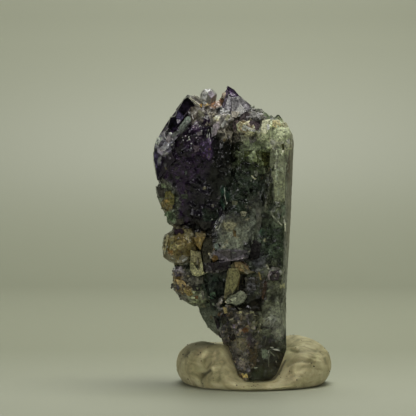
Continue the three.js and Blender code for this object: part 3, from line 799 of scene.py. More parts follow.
@dataclass(frozen=True)
class CleavedFluorite:
    """Cleaved fluorite of mixed colour: glassy, with veils of old fractures, and small faces that flash."""

    name: str = "cleaved_fluorite"
    swirl_width: float = 0.6
    swirl_reach: float = 0.5
    veil: str = "#878B7C"
    veil_width: float = 1.3
    wisp_width: float = 2.0
    mottle_width: float = 0.32
    patch_width: float = 1.1
    crumb_width: float = 0.3
    cream: str = "#8C8262"
    lilac: str = "#6A666A"
    flash_width: float = 0.34
    flash_turn: float = 0.55
    flash_turn_least: float = 0.12
    wave_width: float = 0.8
    wave_turn: float = 0.8
    bump_depth: float = 0.08
    absorption: str = "#5F7263"
    density: float = 160.0

    def whitened(self, wiring: Wiring, lattice: bpy.types.NodeSocket, frost: bpy.types.NodeSocket,
                 squared: bpy.types.NodeSocket) -> bpy.types.NodeSocket:
        """Tells how much old fractures whiten the stone.

        Args:
            wiring: The material's tree.
            lattice: The place on the crystal's lattice.
            frost: How frosted the stone is.
            squared: The same, squared.

        Returns:
            The veil's share.
        """
        # Clouds of tiny fractures whiten the stone, more where it is frosted.
        cloud = wiring.noise(lattice, self.veil_width, 6.0, 0.68, 0.8)["Fac"]
        veiled = wiring.math("MULTIPLY", wiring.ranged(cloud, 0.5, 0.72, 0.0, 0.8), squared)
        # A fracture seen on edge is a thin pale line.
        bend = wiring.noise(lattice, self.wisp_width, 3.0, 0.5, 1.6)["Fac"]
        off = wiring.math("ABSOLUTE", wiring.math("SUBTRACT", bend, 0.5))
        line = wiring.math("MULTIPLY", wiring.ranged(off, 0.016, 0.0), wiring.ranged(cloud, 0.52, 0.62))
        return wiring.math("MAXIMUM", veiled, wiring.math("MULTIPLY", line, frost))

    def crumbled(self, wiring: Wiring, wavy: bpy.types.NodeSocket,
                 colour: bpy.types.NodeSocket) -> bpy.types.NodeSocket:
        """Breaks the colour up into crumbs of mixed minerals, some of them cream or lilac.

        Args:
            wiring: The material's tree.
            wavy: The place, with a swirl in it.
            colour: The colour of the stone without crumbs.

        Returns:
            The crumbs' colour.
        """
        crumbs = wiring.add("TexVoronoi", inputs={"Scale": 1 / (self.crumb_width * MM), "Vector": wavy})
        chance = wiring.add("SeparateXYZ", inputs={"Vector": crumbs.outputs["Color"]}).outputs
        shade = wiring.math("MULTIPLY_ADD", wiring.math("MULTIPLY", chance["X"], chance["X"]), 3.0, 0.08)
        cream = wiring.ranged(chance["Y"], 0.7, 0.76, 0.0, 0.75)
        mixed = wiring.mix(cream, colour, linear(self.cream))
        lilac = wiring.ranged(chance["Z"], 0.74, 0.8, 0.0, 0.6)
        mixed = wiring.mix(lilac, mixed, linear(self.lilac))
        return wiring.vector("SCALE", mixed, None, None, shade)

    def turned(self, wiring: Wiring, lattice: bpy.types.NodeSocket,
               wavy: bpy.types.NodeSocket) -> bpy.types.NodeSocket:
        """Turns the normal, so that each small cleavage face catches the light by itself.

        Args:
            wiring: The material's tree.
            lattice: The place on the crystal's lattice.
            wavy: The place, with a swirl in it.

        Returns:
            The normal.
        """
        middle = (0.5, 0.5, 0.5)
        cells = wiring.add("TexVoronoi", {"distance": "MANHATTAN"},
                           {"Scale": 1 / (self.flash_width * MM), "Vector": lattice})
        turn = wiring.vector("SUBTRACT", cells.outputs["Color"], middle)
        pits = wiring.math("MULTIPLY_ADD", wiring.read(PITTED), self.flash_turn, self.flash_turn_least)
        turn = wiring.vector("SCALE", turn, None, None, pits)
        wave = wiring.vector("SUBTRACT", wiring.noise(wavy, self.wave_width, 4.0)["Color"], middle)
        turn = wiring.vector("MULTIPLY_ADD", wave, (self.wave_turn,) * 3, turn)
        upright = wiring.add("NewGeometry").outputs["Normal"]
        return wiring.vector("NORMALIZE", wiring.vector("ADD", upright, turn))

    def make(self) -> bpy.types.Material:
        """Builds the material.

        Returns:
            The material.
        """
        material, wiring = new_material(self.name)
        place = wiring.add("TexCoord").outputs["Object"]
        lattice = wiring.add("Mapping", inputs={"Rotation": LATTICE_TURN, "Vector": place}).outputs[0]
        tint = wiring.read(TINT, "Color")
        clear = wiring.read(CLEAR)
        frost = wiring.read(FROST)
        squared = wiring.math("MULTIPLY", frost, frost)
        swirl = wiring.noise(lattice, self.swirl_width)["Color"]
        wavy = wiring.vector("MULTIPLY_ADD", swirl, (self.swirl_reach * MM,) * 3, lattice)
        fine = wiring.noise(lattice, self.mottle_width, 5.0, 0.75)["Fac"]
        mottle = wiring.ranged(fine, 0.36, 0.66, 0.2, 2.2)
        # Deep in the clear parts lie darker and lighter patches.
        patch = wiring.ranged(wiring.noise(wavy, self.patch_width, 5.0, 0.65)["Fac"], 0.4, 0.6, 0.1, 2.4)
        glassy = wiring.ranged(clear, 0.25, 0.45)
        depth = wiring.add("Mix", inputs={0: glassy, 2: 1.0, 3: patch}).outputs[0]
        colour = wiring.vector("SCALE", tint, None, None, wiring.math("MULTIPLY", mottle, depth))
        colour = wiring.mix(wiring.read(SOWN_GRIT), colour, self.crumbled(wiring, wavy, colour))
        own = wiring.mix(0.5, tint, linear(self.veil))
        colour = wiring.mix(self.whitened(wiring, lattice, frost, squared), colour, own)
        bump = wiring.add("Bump", inputs={"Strength": 0.6, "Distance": self.bump_depth * MM,
                                          "Height": wiring.math("MULTIPLY", fine, squared),
                                          "Normal": self.turned(wiring, lattice, wavy)})
        surface = wiring.add("BsdfPrincipled", inputs={
            "IOR": FLUORITE_IOR, "Base Color": colour, "Transmission Weight": clear,
            "Roughness": wiring.ranged(frost, 0.15, 0.8, 0.12, 0.6), "Normal": bump.outputs["Normal"]})
        wiring.close(surface, self.absorption, self.density)
        return material


@dataclass(frozen=True)
class CrystalFinish:
    """One clear or stony mineral: its own tint and clearness, with growth lines and a few pits."""

    name: str
    transmission: float
    roughness: tuple[float, float]
    brighten: float = 1.0
    pit_width: float = 0.4
    pit_depth: float = 0.05
    absorption: str | None = None
    density: float = 0.0
    fleck: str | None = None
    fleck_width: float = 0.55
    fleck_share: float = 0.4

    def make(self) -> bpy.types.Material:
        """Builds the material.

        Returns:
            The material.
        """
        material, wiring = new_material(self.name)
        place = wiring.add("TexCoord").outputs["Object"]
        lattice = wiring.add("Mapping", inputs={"Rotation": LATTICE_TURN, "Vector": place}).outputs[0]
        fine = wiring.noise(lattice, self.pit_width, 5.0, 0.7)["Fac"]
        mottle = wiring.ranged(fine, 0.3, 0.7, 0.6 * self.brighten, 1.4 * self.brighten)
        colour = wiring.vector("SCALE", wiring.read(TINT, "Color"), None, None, mottle)
        if self.fleck:
            dots = wiring.noise(place, self.fleck_width, 3.0, 0.6)["Fac"]
            mask = wiring.ranged(dots, 1 - self.fleck_share, 1.05 - self.fleck_share)
            colour = wiring.mix(mask, colour, linear(self.fleck))
        bump = wiring.add("Bump", inputs={"Strength": 0.6, "Distance": self.pit_depth * MM, "Height": fine})
        surface = wiring.add("BsdfPrincipled", inputs={
            "IOR": FLUORITE_IOR, "Transmission Weight": self.transmission, "Base Color": colour,
            "Roughness": wiring.ranged(fine, 0.35, 0.65, *self.roughness),
            "Normal": bump.outputs["Normal"]})
        wiring.close(surface, self.absorption, self.density)
        return material


# Clear lilac fluorite lets the backdrop through, and only its edges show.
LILAC_FLUORITE = CrystalFinish("clear_lilac_fluorite", 0.6, (0.04, 0.2), absorption="#C9BCD6", density=60.0)
# Purple fluorite's own faces are glassy, nearly black where they are deep.
PURPLE_FLUORITE = CrystalFinish("purple_fluorite", 0.55, (0.04, 0.14), pit_width=0.7, pit_depth=0.015,
                                absorption="#7A5AA0", density=200.0)
# The flakes are white and pale: mostly painted glints and highlights, with some pale marks of the stone.
FLAKES_WITH_PAINTED_GLINTS = CrystalFinish("flakes_with_painted_glints", 0.15, (0.1, 0.2), pit_depth=0.01)
# Honey fluorite glows where it is thin, over dark flecks of the mineral that it grew on.
HONEY_FLUORITE = CrystalFinish("honey_fluorite", 0.6, (0.05, 0.24), pit_width=0.8, absorption="#B39A58",
                               density=200.0, fleck="#40301A", fleck_share=0.4)
# Frosted fluorite is pale, and dull as ground glass.
FROSTED_FLUORITE = CrystalFinish("frosted_fluorite", 0.4, (0.2, 0.5), absorption="#9DA886", density=120.0)
# The tan blades are stony and let no light through.
TAN_BARITE = CrystalFinish("tan_barite", 0.1, (0.35, 0.65))
# The druse's clear grains glitter in the body's own colours.
DRUSE_FLUORITE = CrystalFinish("druse_fluorite", 0.5, (0.1, 0.26), brighten=1.25, pit_depth=0.01)
# Grit of mixed minerals is matt, and a little lighter than the stone under it.
GRIT_MINERALS = CrystalFinish("grit_minerals", 0.1, (0.3, 0.65), brighten=1.2, pit_depth=0.02)

# Grit that the putty picked up is dull and mostly dark.
GROUND_IN_GRIT = CrystalFinish("ground_in_grit", 0.0, (0.5, 0.8), pit_depth=0.01)


class Habit(Enum):
    """How a small crystal's faces look: the height of its steps and of its swells, in mm."""

    SHARP = (0.03, 0.0)
    STEPPED = (0.12, 0.03)
    ROUNDED = (0.0, 0.22)
    RAGGED = (0.14, 0.14)


@dataclass
class SmallCrystals:
    """Small crystals of one mineral that stand on the body, each wrapped round its corners."""

    name: str
    crystals: dict[str, Corners]
    finish: CrystalFinish
    habit: Habit
    own: str
    own_share: float = 0.5
    chip: float = 0.1
    sharp: bool = False
    cell: float = 0.11
    proud: float = 0.05

    def wrap(self, corners: Corners) -> bmesh.types.BMesh:
        """Wraps corners in flat faces and takes the sharpness off the edges.

        Args:
            corners: The crystal's corners.

        Returns:
            The closed mesh, in mm.
        """
        bm = bmesh.new()
        for corner in corners:
            bm.verts.new(seen(corner))
        bmesh.ops.convex_hull(bm, input=bm.verts[:])
        bmesh.ops.delete(bm, geom=[v for v in bm.verts if not v.link_faces], context="VERTS")
        bmesh.ops.dissolve_limit(bm, angle_limit=math.radians(1.5), verts=bm.verts[:], edges=bm.edges[:])
        bmesh.ops.bevel(bm, geom=bm.edges[:], offset=self.chip, segments=2, profile=0.5, affect="EDGES",
                        clamp_overlap=True)
        bmesh.ops.recalc_face_normals(bm, faces=bm.faces[:])
        return bm

    def build(self) -> bpy.types.Object:
        """Builds the crystals as one mesh.

        Returns:
            The object.
        """
        whole = bmesh.new()
        for corners in self.crystals.values():
            bm = self.wrap(corners)
            part = sharp_mesh(bm, "part", 3 * self.cell) if self.sharp else even_mesh(bm, "part", self.cell)
            whole.from_mesh(part)
            bpy.data.meshes.remove(part)
        mesh = mesh_of(whole, self.name)
        places = places_of(mesh)
        look = Look.at(places)
        step_height, swell_height = self.habit.value
        steps = np.floor(soft_noise(places, 1.0, 43) * 4) / 4
        height = self.proud + step_height * steps + swell_height * soft_noise(places, 1.1, 47)
        set_places(mesh, places + normals_of(mesh) * height[:, None])
        own = np.array(linear(self.own)[:3])
        shade = 1 + 0.35 * soft_noise(places, 0.7, 53)
        tint = look.tint * (1 - self.own_share) + own * self.own_share * shade[:, None]
        # The tint gets painted highlights on its edges and painted shade in its hollows.
        paint(mesh, look.tinted(paint_edge_highlights_and_hollow_shade(mesh, tint)))
        mesh.materials.append(self.finish.make())
        if self.habit is Habit.ROUNDED:
            for polygon in mesh.polygons:
                polygon.use_smooth = True
        return place_in_scene(self.name, mesh, "fluorite")


@dataclass(frozen=True)
class Facet:
    """A flat face as it is seen from the front: the colour that it shows, and its corners in pixels,
    a column and a row each."""

    colour: str
    corners: tuple[float, ...]
    clear: float = 0.3
    frost: float = 0.35


# Each facet: its colour, its corners, then how clear and how frosted it is.
FACETS = {
    "summit tip": (
        ("#E4EADC", (202.4, 93.4, 205, 91.4, 207.4, 95, 206, 100.4, 202.6, 99), 0.2, 0.5),
        ("#7C7680", (208.6, 91.2, 212, 91.2, 214.6, 95, 211.4, 98.4, 208.2, 95), 0.3, 0.3)),
    "tan column": (
        ("#6C6849", (229, 270, 237, 270, 239.4, 276, 236.6, 286, 231, 296, 224.8, 298.6, 226, 285), 0.05,
         0.5),
        ("#84816A", (228.6, 272, 230.2, 272, 227.2, 286, 226, 298, 224, 298.6, 225.4, 284), 0.05, 0.5),
        ("#4A4326", (231, 279, 232.4, 284, 231.4, 287, 229.6, 280), 0.05, 0.5)),
    "tan blade": (
        ("#6A5C40", (235, 262.4, 240, 261.8, 247, 266.4, 250.4, 271.6, 246, 273, 240, 270.8, 235.4, 267),
         0.05, 0.4),
        ("#484430", (233, 263, 238, 264.6, 249, 270.4, 254.6, 271.8, 247, 274, 240, 270.6, 234, 266), 0.05,
         0.5),
        ("#6E6848", (235, 264.6, 239, 266, 246, 270, 243, 270.6, 236, 266.8), 0.05, 0.5)),
    "pale shard": (
        ("#74776A", (226, 300.6, 231, 296, 236, 294, 240, 291.4, 243.6, 293, 246, 297, 243, 302, 236, 305,
         232, 303, 227.6, 303.6), 0.1, 0.6),
        ("#A6A998", (230, 299, 238, 296.2, 243.4, 296.8, 240, 300.4, 232, 301.4), 0.1, 0.6)),
    "beige finger": (
        ("#807B5C", (190.8, 250.4, 200, 252, 202, 262, 191, 262), 0.1, 0.5),
        ("#94926E", (190.6, 262, 202.4, 262, 203, 270, 201, 274, 194, 274.4, 190.8, 270), 0.1, 0.5),
        ("#AAA88A", (191.4, 270.6, 203, 271, 205, 273.6, 198, 276.4, 193, 275), 0.05, 0.5)),
    "honey crystal": (
        ("#7C765C", (163.8, 238, 167.6, 234.4, 169.6, 238, 166.6, 246, 164.8, 254, 163, 248), 0.4, 0.2),),
    "flecks in the honey crystal": (
        ("#33291A", (176, 243, 177.4, 242.8, 177.6, 244.4, 176.4, 244.6), 0.1),
        ("#33291A", (180, 251, 181.8, 251.2, 181.6, 253, 180.2, 252.8), 0.1),
        ("#5E5236", (185, 246.6, 186.4, 247, 186, 248.6, 184.8, 248), 0.1),
        ("#826E42", (171.8, 252, 173, 252.2, 173, 253.6, 172, 253.4), 0.1),
        ("#94845E", (177.6, 258, 178.8, 258, 178.8, 259.6, 177.8, 259.4), 0.1),
        ("#5A4E3A", (164.6, 247.6, 165.6, 247, 166, 250, 165, 250.6), 0.1)),
    "dark crown face": (
        ("#0D0912", (184, 99.5, 188, 97, 190, 100, 194.5, 105.5, 191.5, 110, 189, 116, 182, 115.5, 178,
         110), 0.5, 0.05),
        ("#322D42", (177, 111, 182, 113, 184.5, 119, 181, 123, 175.5, 118), 0.5, 0.1),
        ("#8A84A0", (176.8, 119.6, 180.4, 120, 179.6, 123.6, 177.2, 123.4), 0.4, 0.2),
        ("#0A070F", (170.5, 117.5, 175, 116.5, 178, 123, 176, 129, 172.5, 131, 168, 127), 0.5, 0.05),
        ("#0C0A0E", (187.5, 112.5, 189.5, 115.8, 184, 118, 180.5, 126, 175, 131.5, 174, 130), 0.5, 0.05)),
    "ledge": (
        ("#5E6660", (184.5, 118.8, 187.5, 116.4, 190.4, 117.4, 190.6, 121, 187.4, 125.6, 183.4, 124.4)),
        ("#565B56", (183.6, 121, 187, 125.8, 182, 129.6, 178.6, 130.8, 179.6, 126)),
        ("#4C4E4C", (178, 130, 181.6, 130.2, 178.4, 134, 173.6, 137.4, 170.4, 136.4, 173, 133.4)),
        ("#8A968C", (186, 121, 188.6, 120.4, 189, 122, 187, 123.8))),
    "left facets": (
        ("#565458", (162, 133.6, 167.4, 130.6, 170, 135, 168, 140, 163.6, 139), 0.5, 0.1),
        # The pale faces here are the crystal's colour, made paler as painted highlights.
        ("#8A8488", (167, 136.5, 172, 135.5, 172, 139.5, 169, 143.5, 166, 141)),
        ("#9290A4", (164, 144.6, 169.6, 142.6, 168.4, 148, 164, 151, 160.6, 148), 0.3, 0.5),
        ("#968EB0", (157.6, 149, 163, 148.4, 166, 151.6, 162, 155, 158.2, 152.4), 0.3, 0.5),
        ("#7E847A", (157, 138, 163, 136.6, 160.6, 141, 158.4, 145.4, 155.6, 143), 0.5, 0.2),
        ("#403E44", (161, 141, 165, 140.6, 164, 144, 160, 147, 158, 145.6), 0.5, 0.1),
        ("#2A2438", (154.6, 152, 158, 153.6, 158.6, 160, 156.6, 170, 153.8, 160), 0.5, 0.1)),
    "crown stripes": (
        ("#8B897C", (189.4, 98.4, 191, 97.8, 200.4, 105.4, 199, 107.4)),
        ("#4E4B49", (191.2, 97, 193, 96.4, 202, 103.2, 200.8, 105.2)),
        ("#9C988C", (193.6, 95.2, 196.4, 95.4, 203.4, 100.8, 202.2, 103)),
        ("#46403A", (191.2, 107.6, 196, 106.4, 200, 111, 198, 118, 193.4, 119, 190.4, 113.6)),
        ("#504E42", (198, 110, 203, 112, 205, 116, 201, 119.5, 198.6, 116))),
    "v notch": (
        ("#130A18", (206, 115.6, 208.4, 115.4, 210, 120, 209.2, 124.6, 207.6, 121.6), 0.4, 0.05),
        ("#130A18", (205.4, 118.6, 206.6, 121.4, 204.2, 124.8, 200.4, 124.4, 203.4, 121.6), 0.4, 0.05),
        ("#7A726E", (207, 121, 208.4, 124, 206.6, 126, 205.2, 124.4))),
    "cream grains": (
        ("#CBC79F", (214.4, 117, 215.6, 115.5, 218, 115.2, 220, 116.8, 219.8, 119, 218, 121, 216, 120.8,
         214.6, 119.4), 0.05),
        ("#FFF4C8", (202.4, 102, 204.4, 100.8, 207, 103.4, 205.6, 105.2, 203, 103.8), 0.05),
        ("#98793F", (199, 104.4, 201.4, 103.8, 202, 106.4, 200, 107.6), 0.05)),
    "crease from the peak": (
        ("#807F6A", (228, 114.4, 231, 115.4, 227.4, 121, 224.6, 119.6)),
        ("#B0AE9C", (224.8, 119.6, 227.2, 121.2, 222.6, 128, 219.8, 126.6)),
        ("#7C747C", (213, 125.4, 218.6, 122.8, 219.6, 127, 216, 134.6, 211.6, 137), 0.3, 0.4),
        ("#A89EB8", (211.2, 127.2, 213.8, 128, 213.6, 132, 211.4, 134.4), 0.3, 0.4),
        ("#4A4642", (212, 112.6, 218, 113, 218.6, 115.2, 213.6, 117))),
    "apex": (
        ("#231A2C", (227, 88.2, 228.3, 86.2, 234, 89.6, 238.4, 94.8, 236, 95.6, 231.4, 92), 0.4, 0.05),
        ("#5A4E66", (229, 90.6, 232, 92.4, 236, 95.4, 233, 97, 230.2, 95.6), 0.4, 0.2),
        ("#2C2236", (231, 96.2, 236.4, 95.2, 239.2, 96, 236.6, 97.4, 232.6, 97.8), 0.4, 0.1)),
    "peak faces": (
        ("#332E28", (224.4, 89.4, 226.8, 88.2, 226, 92.8, 222.6, 93.4), 0.4, 0.3),
        ("#6C6359", (222.4, 93, 226, 92.4, 224.6, 99.8, 221.2, 98), 0.4, 0.3),
        ("#403846", (226.8, 88.8, 228.8, 91.6, 226.8, 99.6, 225, 98), 0.4, 0.1),
        ("#4A4450", (225, 97.6, 226.8, 99.2, 223.8, 108.4, 221.6, 110.4, 223.4, 103), 0.4, 0.1),
        ("#6E6C73", (228.2, 96.6, 231, 98, 231, 110, 225, 113, 223, 111.4, 226.4, 102), 0.3, 0.3),
        ("#605E63", (231.6, 98, 238.6, 97, 243.8, 100, 246, 104, 240, 111.6, 231.8, 111), 0.3, 0.3),
        ("#66636A", (246, 103.4, 249.8, 108.2, 249.2, 110.4, 240.4, 111.8), 0.3, 0.3),
        ("#352D3C", (239, 95.8, 241.2, 97, 246, 102, 251.2, 107.8, 249.8, 108.6, 244, 100.8), 0.4, 0.1),
        ("#8A847C", (231.4, 111.2, 240, 112, 236.4, 117.6, 231.8, 116.6), 0.2, 0.4),
        ("#58525A", (230.2, 108, 231.6, 108, 232.2, 114.6, 231, 114.4), 0.3, 0.1),
        ("#9C9AA0", (225.6, 103.6, 227.6, 103, 227, 106.4, 225.4, 106.8), 0.2, 0.4)),
    "dark steps right of the peak": (
        ("#322D2E", (240.6, 114.4, 246.6, 111.6, 250, 113, 249, 119, 244, 121.8, 239.6, 119.6), 0.4),
        ("#3A3237", (250, 121.2, 259.4, 121, 260.4, 124.6, 257.6, 130.4, 253, 128, 249.6, 124), 0.4),
        ("#6A5C60", (234, 119.4, 238.4, 120, 237, 127, 235, 131.6, 232, 126), 0.4),
        ("#4C4E47", (255, 108.8, 259, 108.6, 263, 111, 259, 112.4, 255.4, 111.2)),
        ("#5B6350", (262.4, 111.8, 266, 112.8, 270.4, 117, 268.6, 119.4, 264.6, 117.4)),
        ("#6C6B6A", (252, 111.6, 255.6, 112, 257, 116, 253.4, 119.6, 251, 116.4), 0.2, 0.5),
        ("#706F72", (258, 113, 262, 113.4, 263.6, 117, 260, 119.8, 257.6, 117), 0.2, 0.5)),
    "cream crust": (
        ("#B4A68A", (236.6, 124.6, 240, 121.8, 243, 123.6, 244, 128, 241, 132.6, 237.4, 130), 0.1),
        ("#D6D2A8", (243, 124.6, 247, 128, 246.4, 131.6, 242, 133, 241.6, 129), 0.1),
        ("#B4AC90", (242.4, 124, 246, 121.7, 250.2, 120.2, 249.6, 121.8, 246, 124.6), 0.05),
        ("#F4F0D8", (244.8, 125, 248, 126.8, 252, 128.4, 256.4, 130.6, 254.4, 132, 249, 130.6, 246.4, 128),
         0.05),
        ("#8E8278", (246.6, 124.4, 249.4, 122.4, 250.6, 126, 248.6, 127), 0.1),
        ("#9E9A82", (246, 131.8, 250, 131.4, 254.6, 133.2, 250.6, 136.8, 244, 135.8), 0.1),
        ("#62605C", (248.6, 136.8, 256, 135.8, 257, 141, 250.4, 143.4)),
        ("#8C8C7A", (240, 134.8, 247.8, 136.4, 248, 140, 241.4, 141))),
    "pale shoulder": (
        ("#AAB08E", (262.4, 121, 269.8, 120, 270, 129, 266, 134, 260.6, 132), 0.2, 0.5),
        ("#CCD0AC", (263, 127, 266, 124, 269.4, 124.6, 269.6, 129, 265, 131), 0.2, 0.6),
        ("#948C6B", (272.6, 120.6, 279, 120.4, 281, 126, 276, 128, 272.6, 126), 0.2, 0.5),
        ("#87856F", (281.6, 123, 286, 122.4, 288, 126, 284, 128.4), 0.2, 0.5),
        ("#3A3B26", (281.6, 144, 284, 143.6, 284.6, 149.6, 282.4, 150), 0.3, 0.2),
        ("#BEBE98", (286, 139.6, 289.6, 139, 290, 144, 287, 145), 0.2)),
    "finger": (
        ("#6C705A", (271, 150.6, 275.6, 150, 276, 161, 272, 168.6, 269.4, 165), 0.2, 0.5),
        ("#757963", (277.4, 150, 282, 150.6, 283.6, 160, 282.8, 166, 279, 168.6, 278, 160), 0.2, 0.5),
        ("#6C6E5E", (275.8, 159, 277.4, 159, 278, 168, 276.4, 168.4), 0.3, 0.3),
        ("#70745D", (272, 171, 283.2, 171, 284.4, 180, 274, 180.4, 271.4, 176), 0.2, 0.5),
        ("#787C64", (274, 180.6, 284.6, 180.4, 284.4, 200, 281, 200.8, 274.6, 200.4), 0.2, 0.5),
        ("#DADEC8", (274.6, 200.6, 280.6, 201, 279.8, 203.4, 276.6, 204.4), 0.15, 0.6)),
    "diamond plate": (
        ("#474C3B", (271.6, 211, 274.6, 207.4, 279.4, 206.6, 280.6, 214, 279, 221, 272.6, 215), 0.3, 0.3),
        ("#4C5547", (281, 205, 285, 205.6, 285.4, 214, 281.6, 217), 0.3, 0.4),
        # Thin pale strips along the plate's edges: painted highlights.
        ("#8D917F", (270.4, 211.6, 274.2, 206.6, 275, 207.2, 271.6, 211.6), 0.1, 0.5),
        ("#A8AC98", (274.4, 206.8, 280, 205.2, 280.2, 206, 275, 207.6), 0.1, 0.5),
        ("#9EA18F", (270.6, 211.6, 271.8, 211.6, 273, 215.4, 280, 222.6, 282.6, 225.2, 281, 225, 272, 216),
         0.1, 0.5),
        ("#7C826A", (273.4, 214, 277.6, 208.6, 278.2, 209, 274.2, 214.6), 0.2, 0.4),
        ("#9C9E8C", (282.6, 220, 284, 220, 286, 224, 285.6, 231, 284.6, 231, 284.4, 225), 0.05)),
    "green middle": (
        ("#4C4C3D", (232, 201, 237.6, 201, 237, 204.8, 232.4, 205.4)),
        ("#807E6A", (240, 212, 244, 210.6, 247.4, 213, 245, 216.4, 241.4, 215.6), 0.2),
        ("#4E4D44", (244.4, 205, 247, 205.4, 246.6, 208.6, 244.8, 208), 0.2),
        ("#A9A78A", (250.8, 175.4, 253.4, 175.8, 254, 178, 256.6, 178.6, 255.6, 179.4, 252.4, 177.8), 0.05),
        ("#5C5E56", (253.8, 171, 257.4, 170.6, 258.2, 175, 256.4, 176.8, 254.6, 174), 0.2, 0.5),
        ("#5A5A52", (257.6, 191.6, 259.4, 192, 259.4, 196, 257.8, 195.4), 0.2),
        ("#2B2D16", (262.4, 152, 270, 152.6, 269.6, 164, 264, 166.4, 261.6, 160), 0.4, 0.2),
        ("#555B3C", (258, 151, 261.6, 151.6, 261.4, 160, 258.4, 158)),
        ("#3F4526", (243.6, 151, 249, 150.6, 250, 156, 245, 157.4)),
        ("#171D18", (201.6, 208.4, 217.6, 208, 218.6, 220, 203, 221.6), 0.4, 0.1),
        ("#45453E", (256, 208, 260.6, 208.4, 262, 220, 259.6, 231, 256.4, 228), 0.3, 0.4)),
    "patches in the purple crystal": (
        ("#3C4240", (184.6, 172, 186.4, 170.8, 187.4, 173, 185.6, 175.2)),
        ("#2C2F26", (175.4, 176, 180, 176.4, 179, 179.6, 175.8, 179)),
        ("#2B3027", (181, 194.4, 188, 194, 187.6, 198.4, 182, 199)),
        ("#39373D", (163.6, 162.6, 166.6, 163, 166.4, 167, 163.8, 166.8)),
        ("#4A4048", (192.6, 145, 199.4, 146, 199, 151, 194, 152.4)),
        ("#3E2F50", (203, 145, 208, 146, 207.4, 151.6, 203.6, 150), 0.4),
        ("#5A5458", (196.6, 132, 201.6, 131.6, 202.4, 134.6, 198, 135.6), 0.3, 0.4)),
    "left knob": (
        ("#2B2825", (156, 186.6, 162, 187, 166, 190.4, 163.6, 197, 158.6, 196), 0.3, 0.2),
        ("#727C62", (161, 183.6, 165, 183.6, 166.6, 187.6, 162, 188)),
        ("#5F5B35", (165.6, 192, 170, 190.6, 174.4, 196, 173.6, 205, 167.4, 204, 165, 198), 0.2),
        ("#8E7646", (164.6, 199.6, 168, 200, 167.4, 203, 165, 202.4), 0.1),
        ("#6E7462", (158.8, 198, 161.6, 198.4, 161.4, 202.6, 159.4, 202), 0.2),
        ("#3A4834", (168, 213, 173, 213.4, 172.4, 219, 168.4, 219.6)),
        ("#423F38", (176, 219.6, 182.6, 219, 184, 223.6, 178, 225)),
        ("#2B2A2E", (172.6, 204, 175, 204, 174.8, 207.6, 173, 207))),
    "honey neck and wedge": (
        ("#291F27", (174, 229.6, 182, 229, 183.6, 233, 181, 235, 174.6, 234)),
        ("#6F684A", (184, 229.6, 190.6, 229, 194, 235, 190, 238.6, 184.6, 236), 0.1),
        ("#7A6840", (193.6, 237.6, 205, 237.4, 202.6, 242, 200.4, 250, 196.6, 245.6), 0.05),
        ("#AA9464", (196.4, 238.4, 201, 238.4, 199.6, 243, 197.4, 243.4), 0.05)),
    "slab": (
        ("#6E6C55", (223.6, 222.6, 231, 221.6, 237, 224, 234, 229.6, 224.6, 230), 0.15, 0.5),
        ("#ABAA8E", (229.6, 222.6, 232, 222.8, 236, 225, 234.6, 226, 231, 224.6), 0.05),
        ("#5C5036", (233, 230, 236.4, 230.6, 236, 237, 233.4, 236.4), 0.15),
        ("#57625A", (214.2, 244, 218, 243.6, 218.6, 249, 215, 250)),
        ("#4F4A4E", (216.4, 251, 230, 250.6, 231, 259.4, 217.4, 259.6), 0.25, 0.5),
        ("#4C4850", (231.4, 251.6, 247.2, 250.4, 245.6, 259.2, 231.6, 259.6), 0.25, 0.5),
        ("#0E0B0E", (217.4, 243.2, 219, 243.6, 221, 246, 219.6, 247)),
        ("#1A181A", (251, 241, 256, 240.4, 261.4, 244, 259, 258, 250.6, 260, 248.6, 252), 0.4, 0.1)),
    "under the slab": (
        ("#35332A", (203.6, 240, 211, 239.6, 212.6, 252, 210, 266, 203.6, 262, 202.4, 252), 0.3, 0.2),
        ("#5A4422", (211.6, 257, 217, 255.6, 218.6, 259, 213, 262), 0.1),
        ("#241F24", (208, 263, 220, 262.6, 230.6, 261.4, 230.8, 269.6, 214, 270), 0.3, 0.2),
        ("#67646A", (215.4, 270.4, 218.4, 268, 219, 273, 216.6, 272.4), 0.2),
        ("#0C100D", (205.6, 283, 225.8, 281.6, 223.6, 294, 216.6, 299, 208, 296), 0.5, 0.05),
        ("#2A382C", (210, 291.6, 215, 291, 216, 298.6, 211, 299.6), 0.5, 0.1),
        ("#101410", (209.6, 299, 216, 299, 215.8, 310, 210.4, 310), 0.5, 0.05)),
    "crumbly lump": (
        ("#4B464E", (175.4, 267, 179.4, 266.6, 180, 276, 176, 276.6), 0.2),
        ("#CCC6A8", (172.6, 268, 175, 266.6, 175.6, 269.4, 173.6, 270.6), 0.05),
        ("#9C8862", (176, 279.2, 184, 281, 187, 286, 181.4, 287, 177.2, 284), 0.05),
        ("#7C6D45", (184, 289, 190.6, 290, 193, 295, 188, 296, 184.2, 292), 0.05),
        ("#56544C", (190.4, 277, 203, 277, 203.6, 283, 196, 285, 191, 283)),
        ("#34303A", (176, 284.4, 178.6, 284, 180, 288, 177.4, 291)),
        ("#1C1A1C", (191.6, 286, 200, 285.6, 200.4, 290.6, 193, 291)),
        ("#6D6C64", (200.6, 290, 204, 291.6, 204.6, 299, 202.4, 299), 0.2),
        ("#5A4630", (194.4, 295.6, 198, 295.6, 198.4, 299, 195, 299), 0.1)),
    "right of the column": (
        ("#4A3A22", (240.4, 260.6, 245, 262, 249.6, 267, 246.6, 267.4), 0.1),
        ("#6B5F38", (258, 272, 259.6, 271.8, 261.6, 279.6, 260, 280), 0.05),
        ("#58462A", (237, 272, 240.4, 274, 239, 285, 236.6, 287), 0.1),
        ("#2A2824", (244, 277, 255, 277, 256, 290, 247, 291), 0.3, 0.3),
        ("#14120E", (246, 302, 260, 298, 260.6, 311, 246.4, 312, 241.6, 307), 0.4, 0.1),
        ("#37281A", (264.4, 281, 267.6, 281, 265.6, 292, 263.4, 300, 261.6, 298), 0.1)),
    "lower right": (
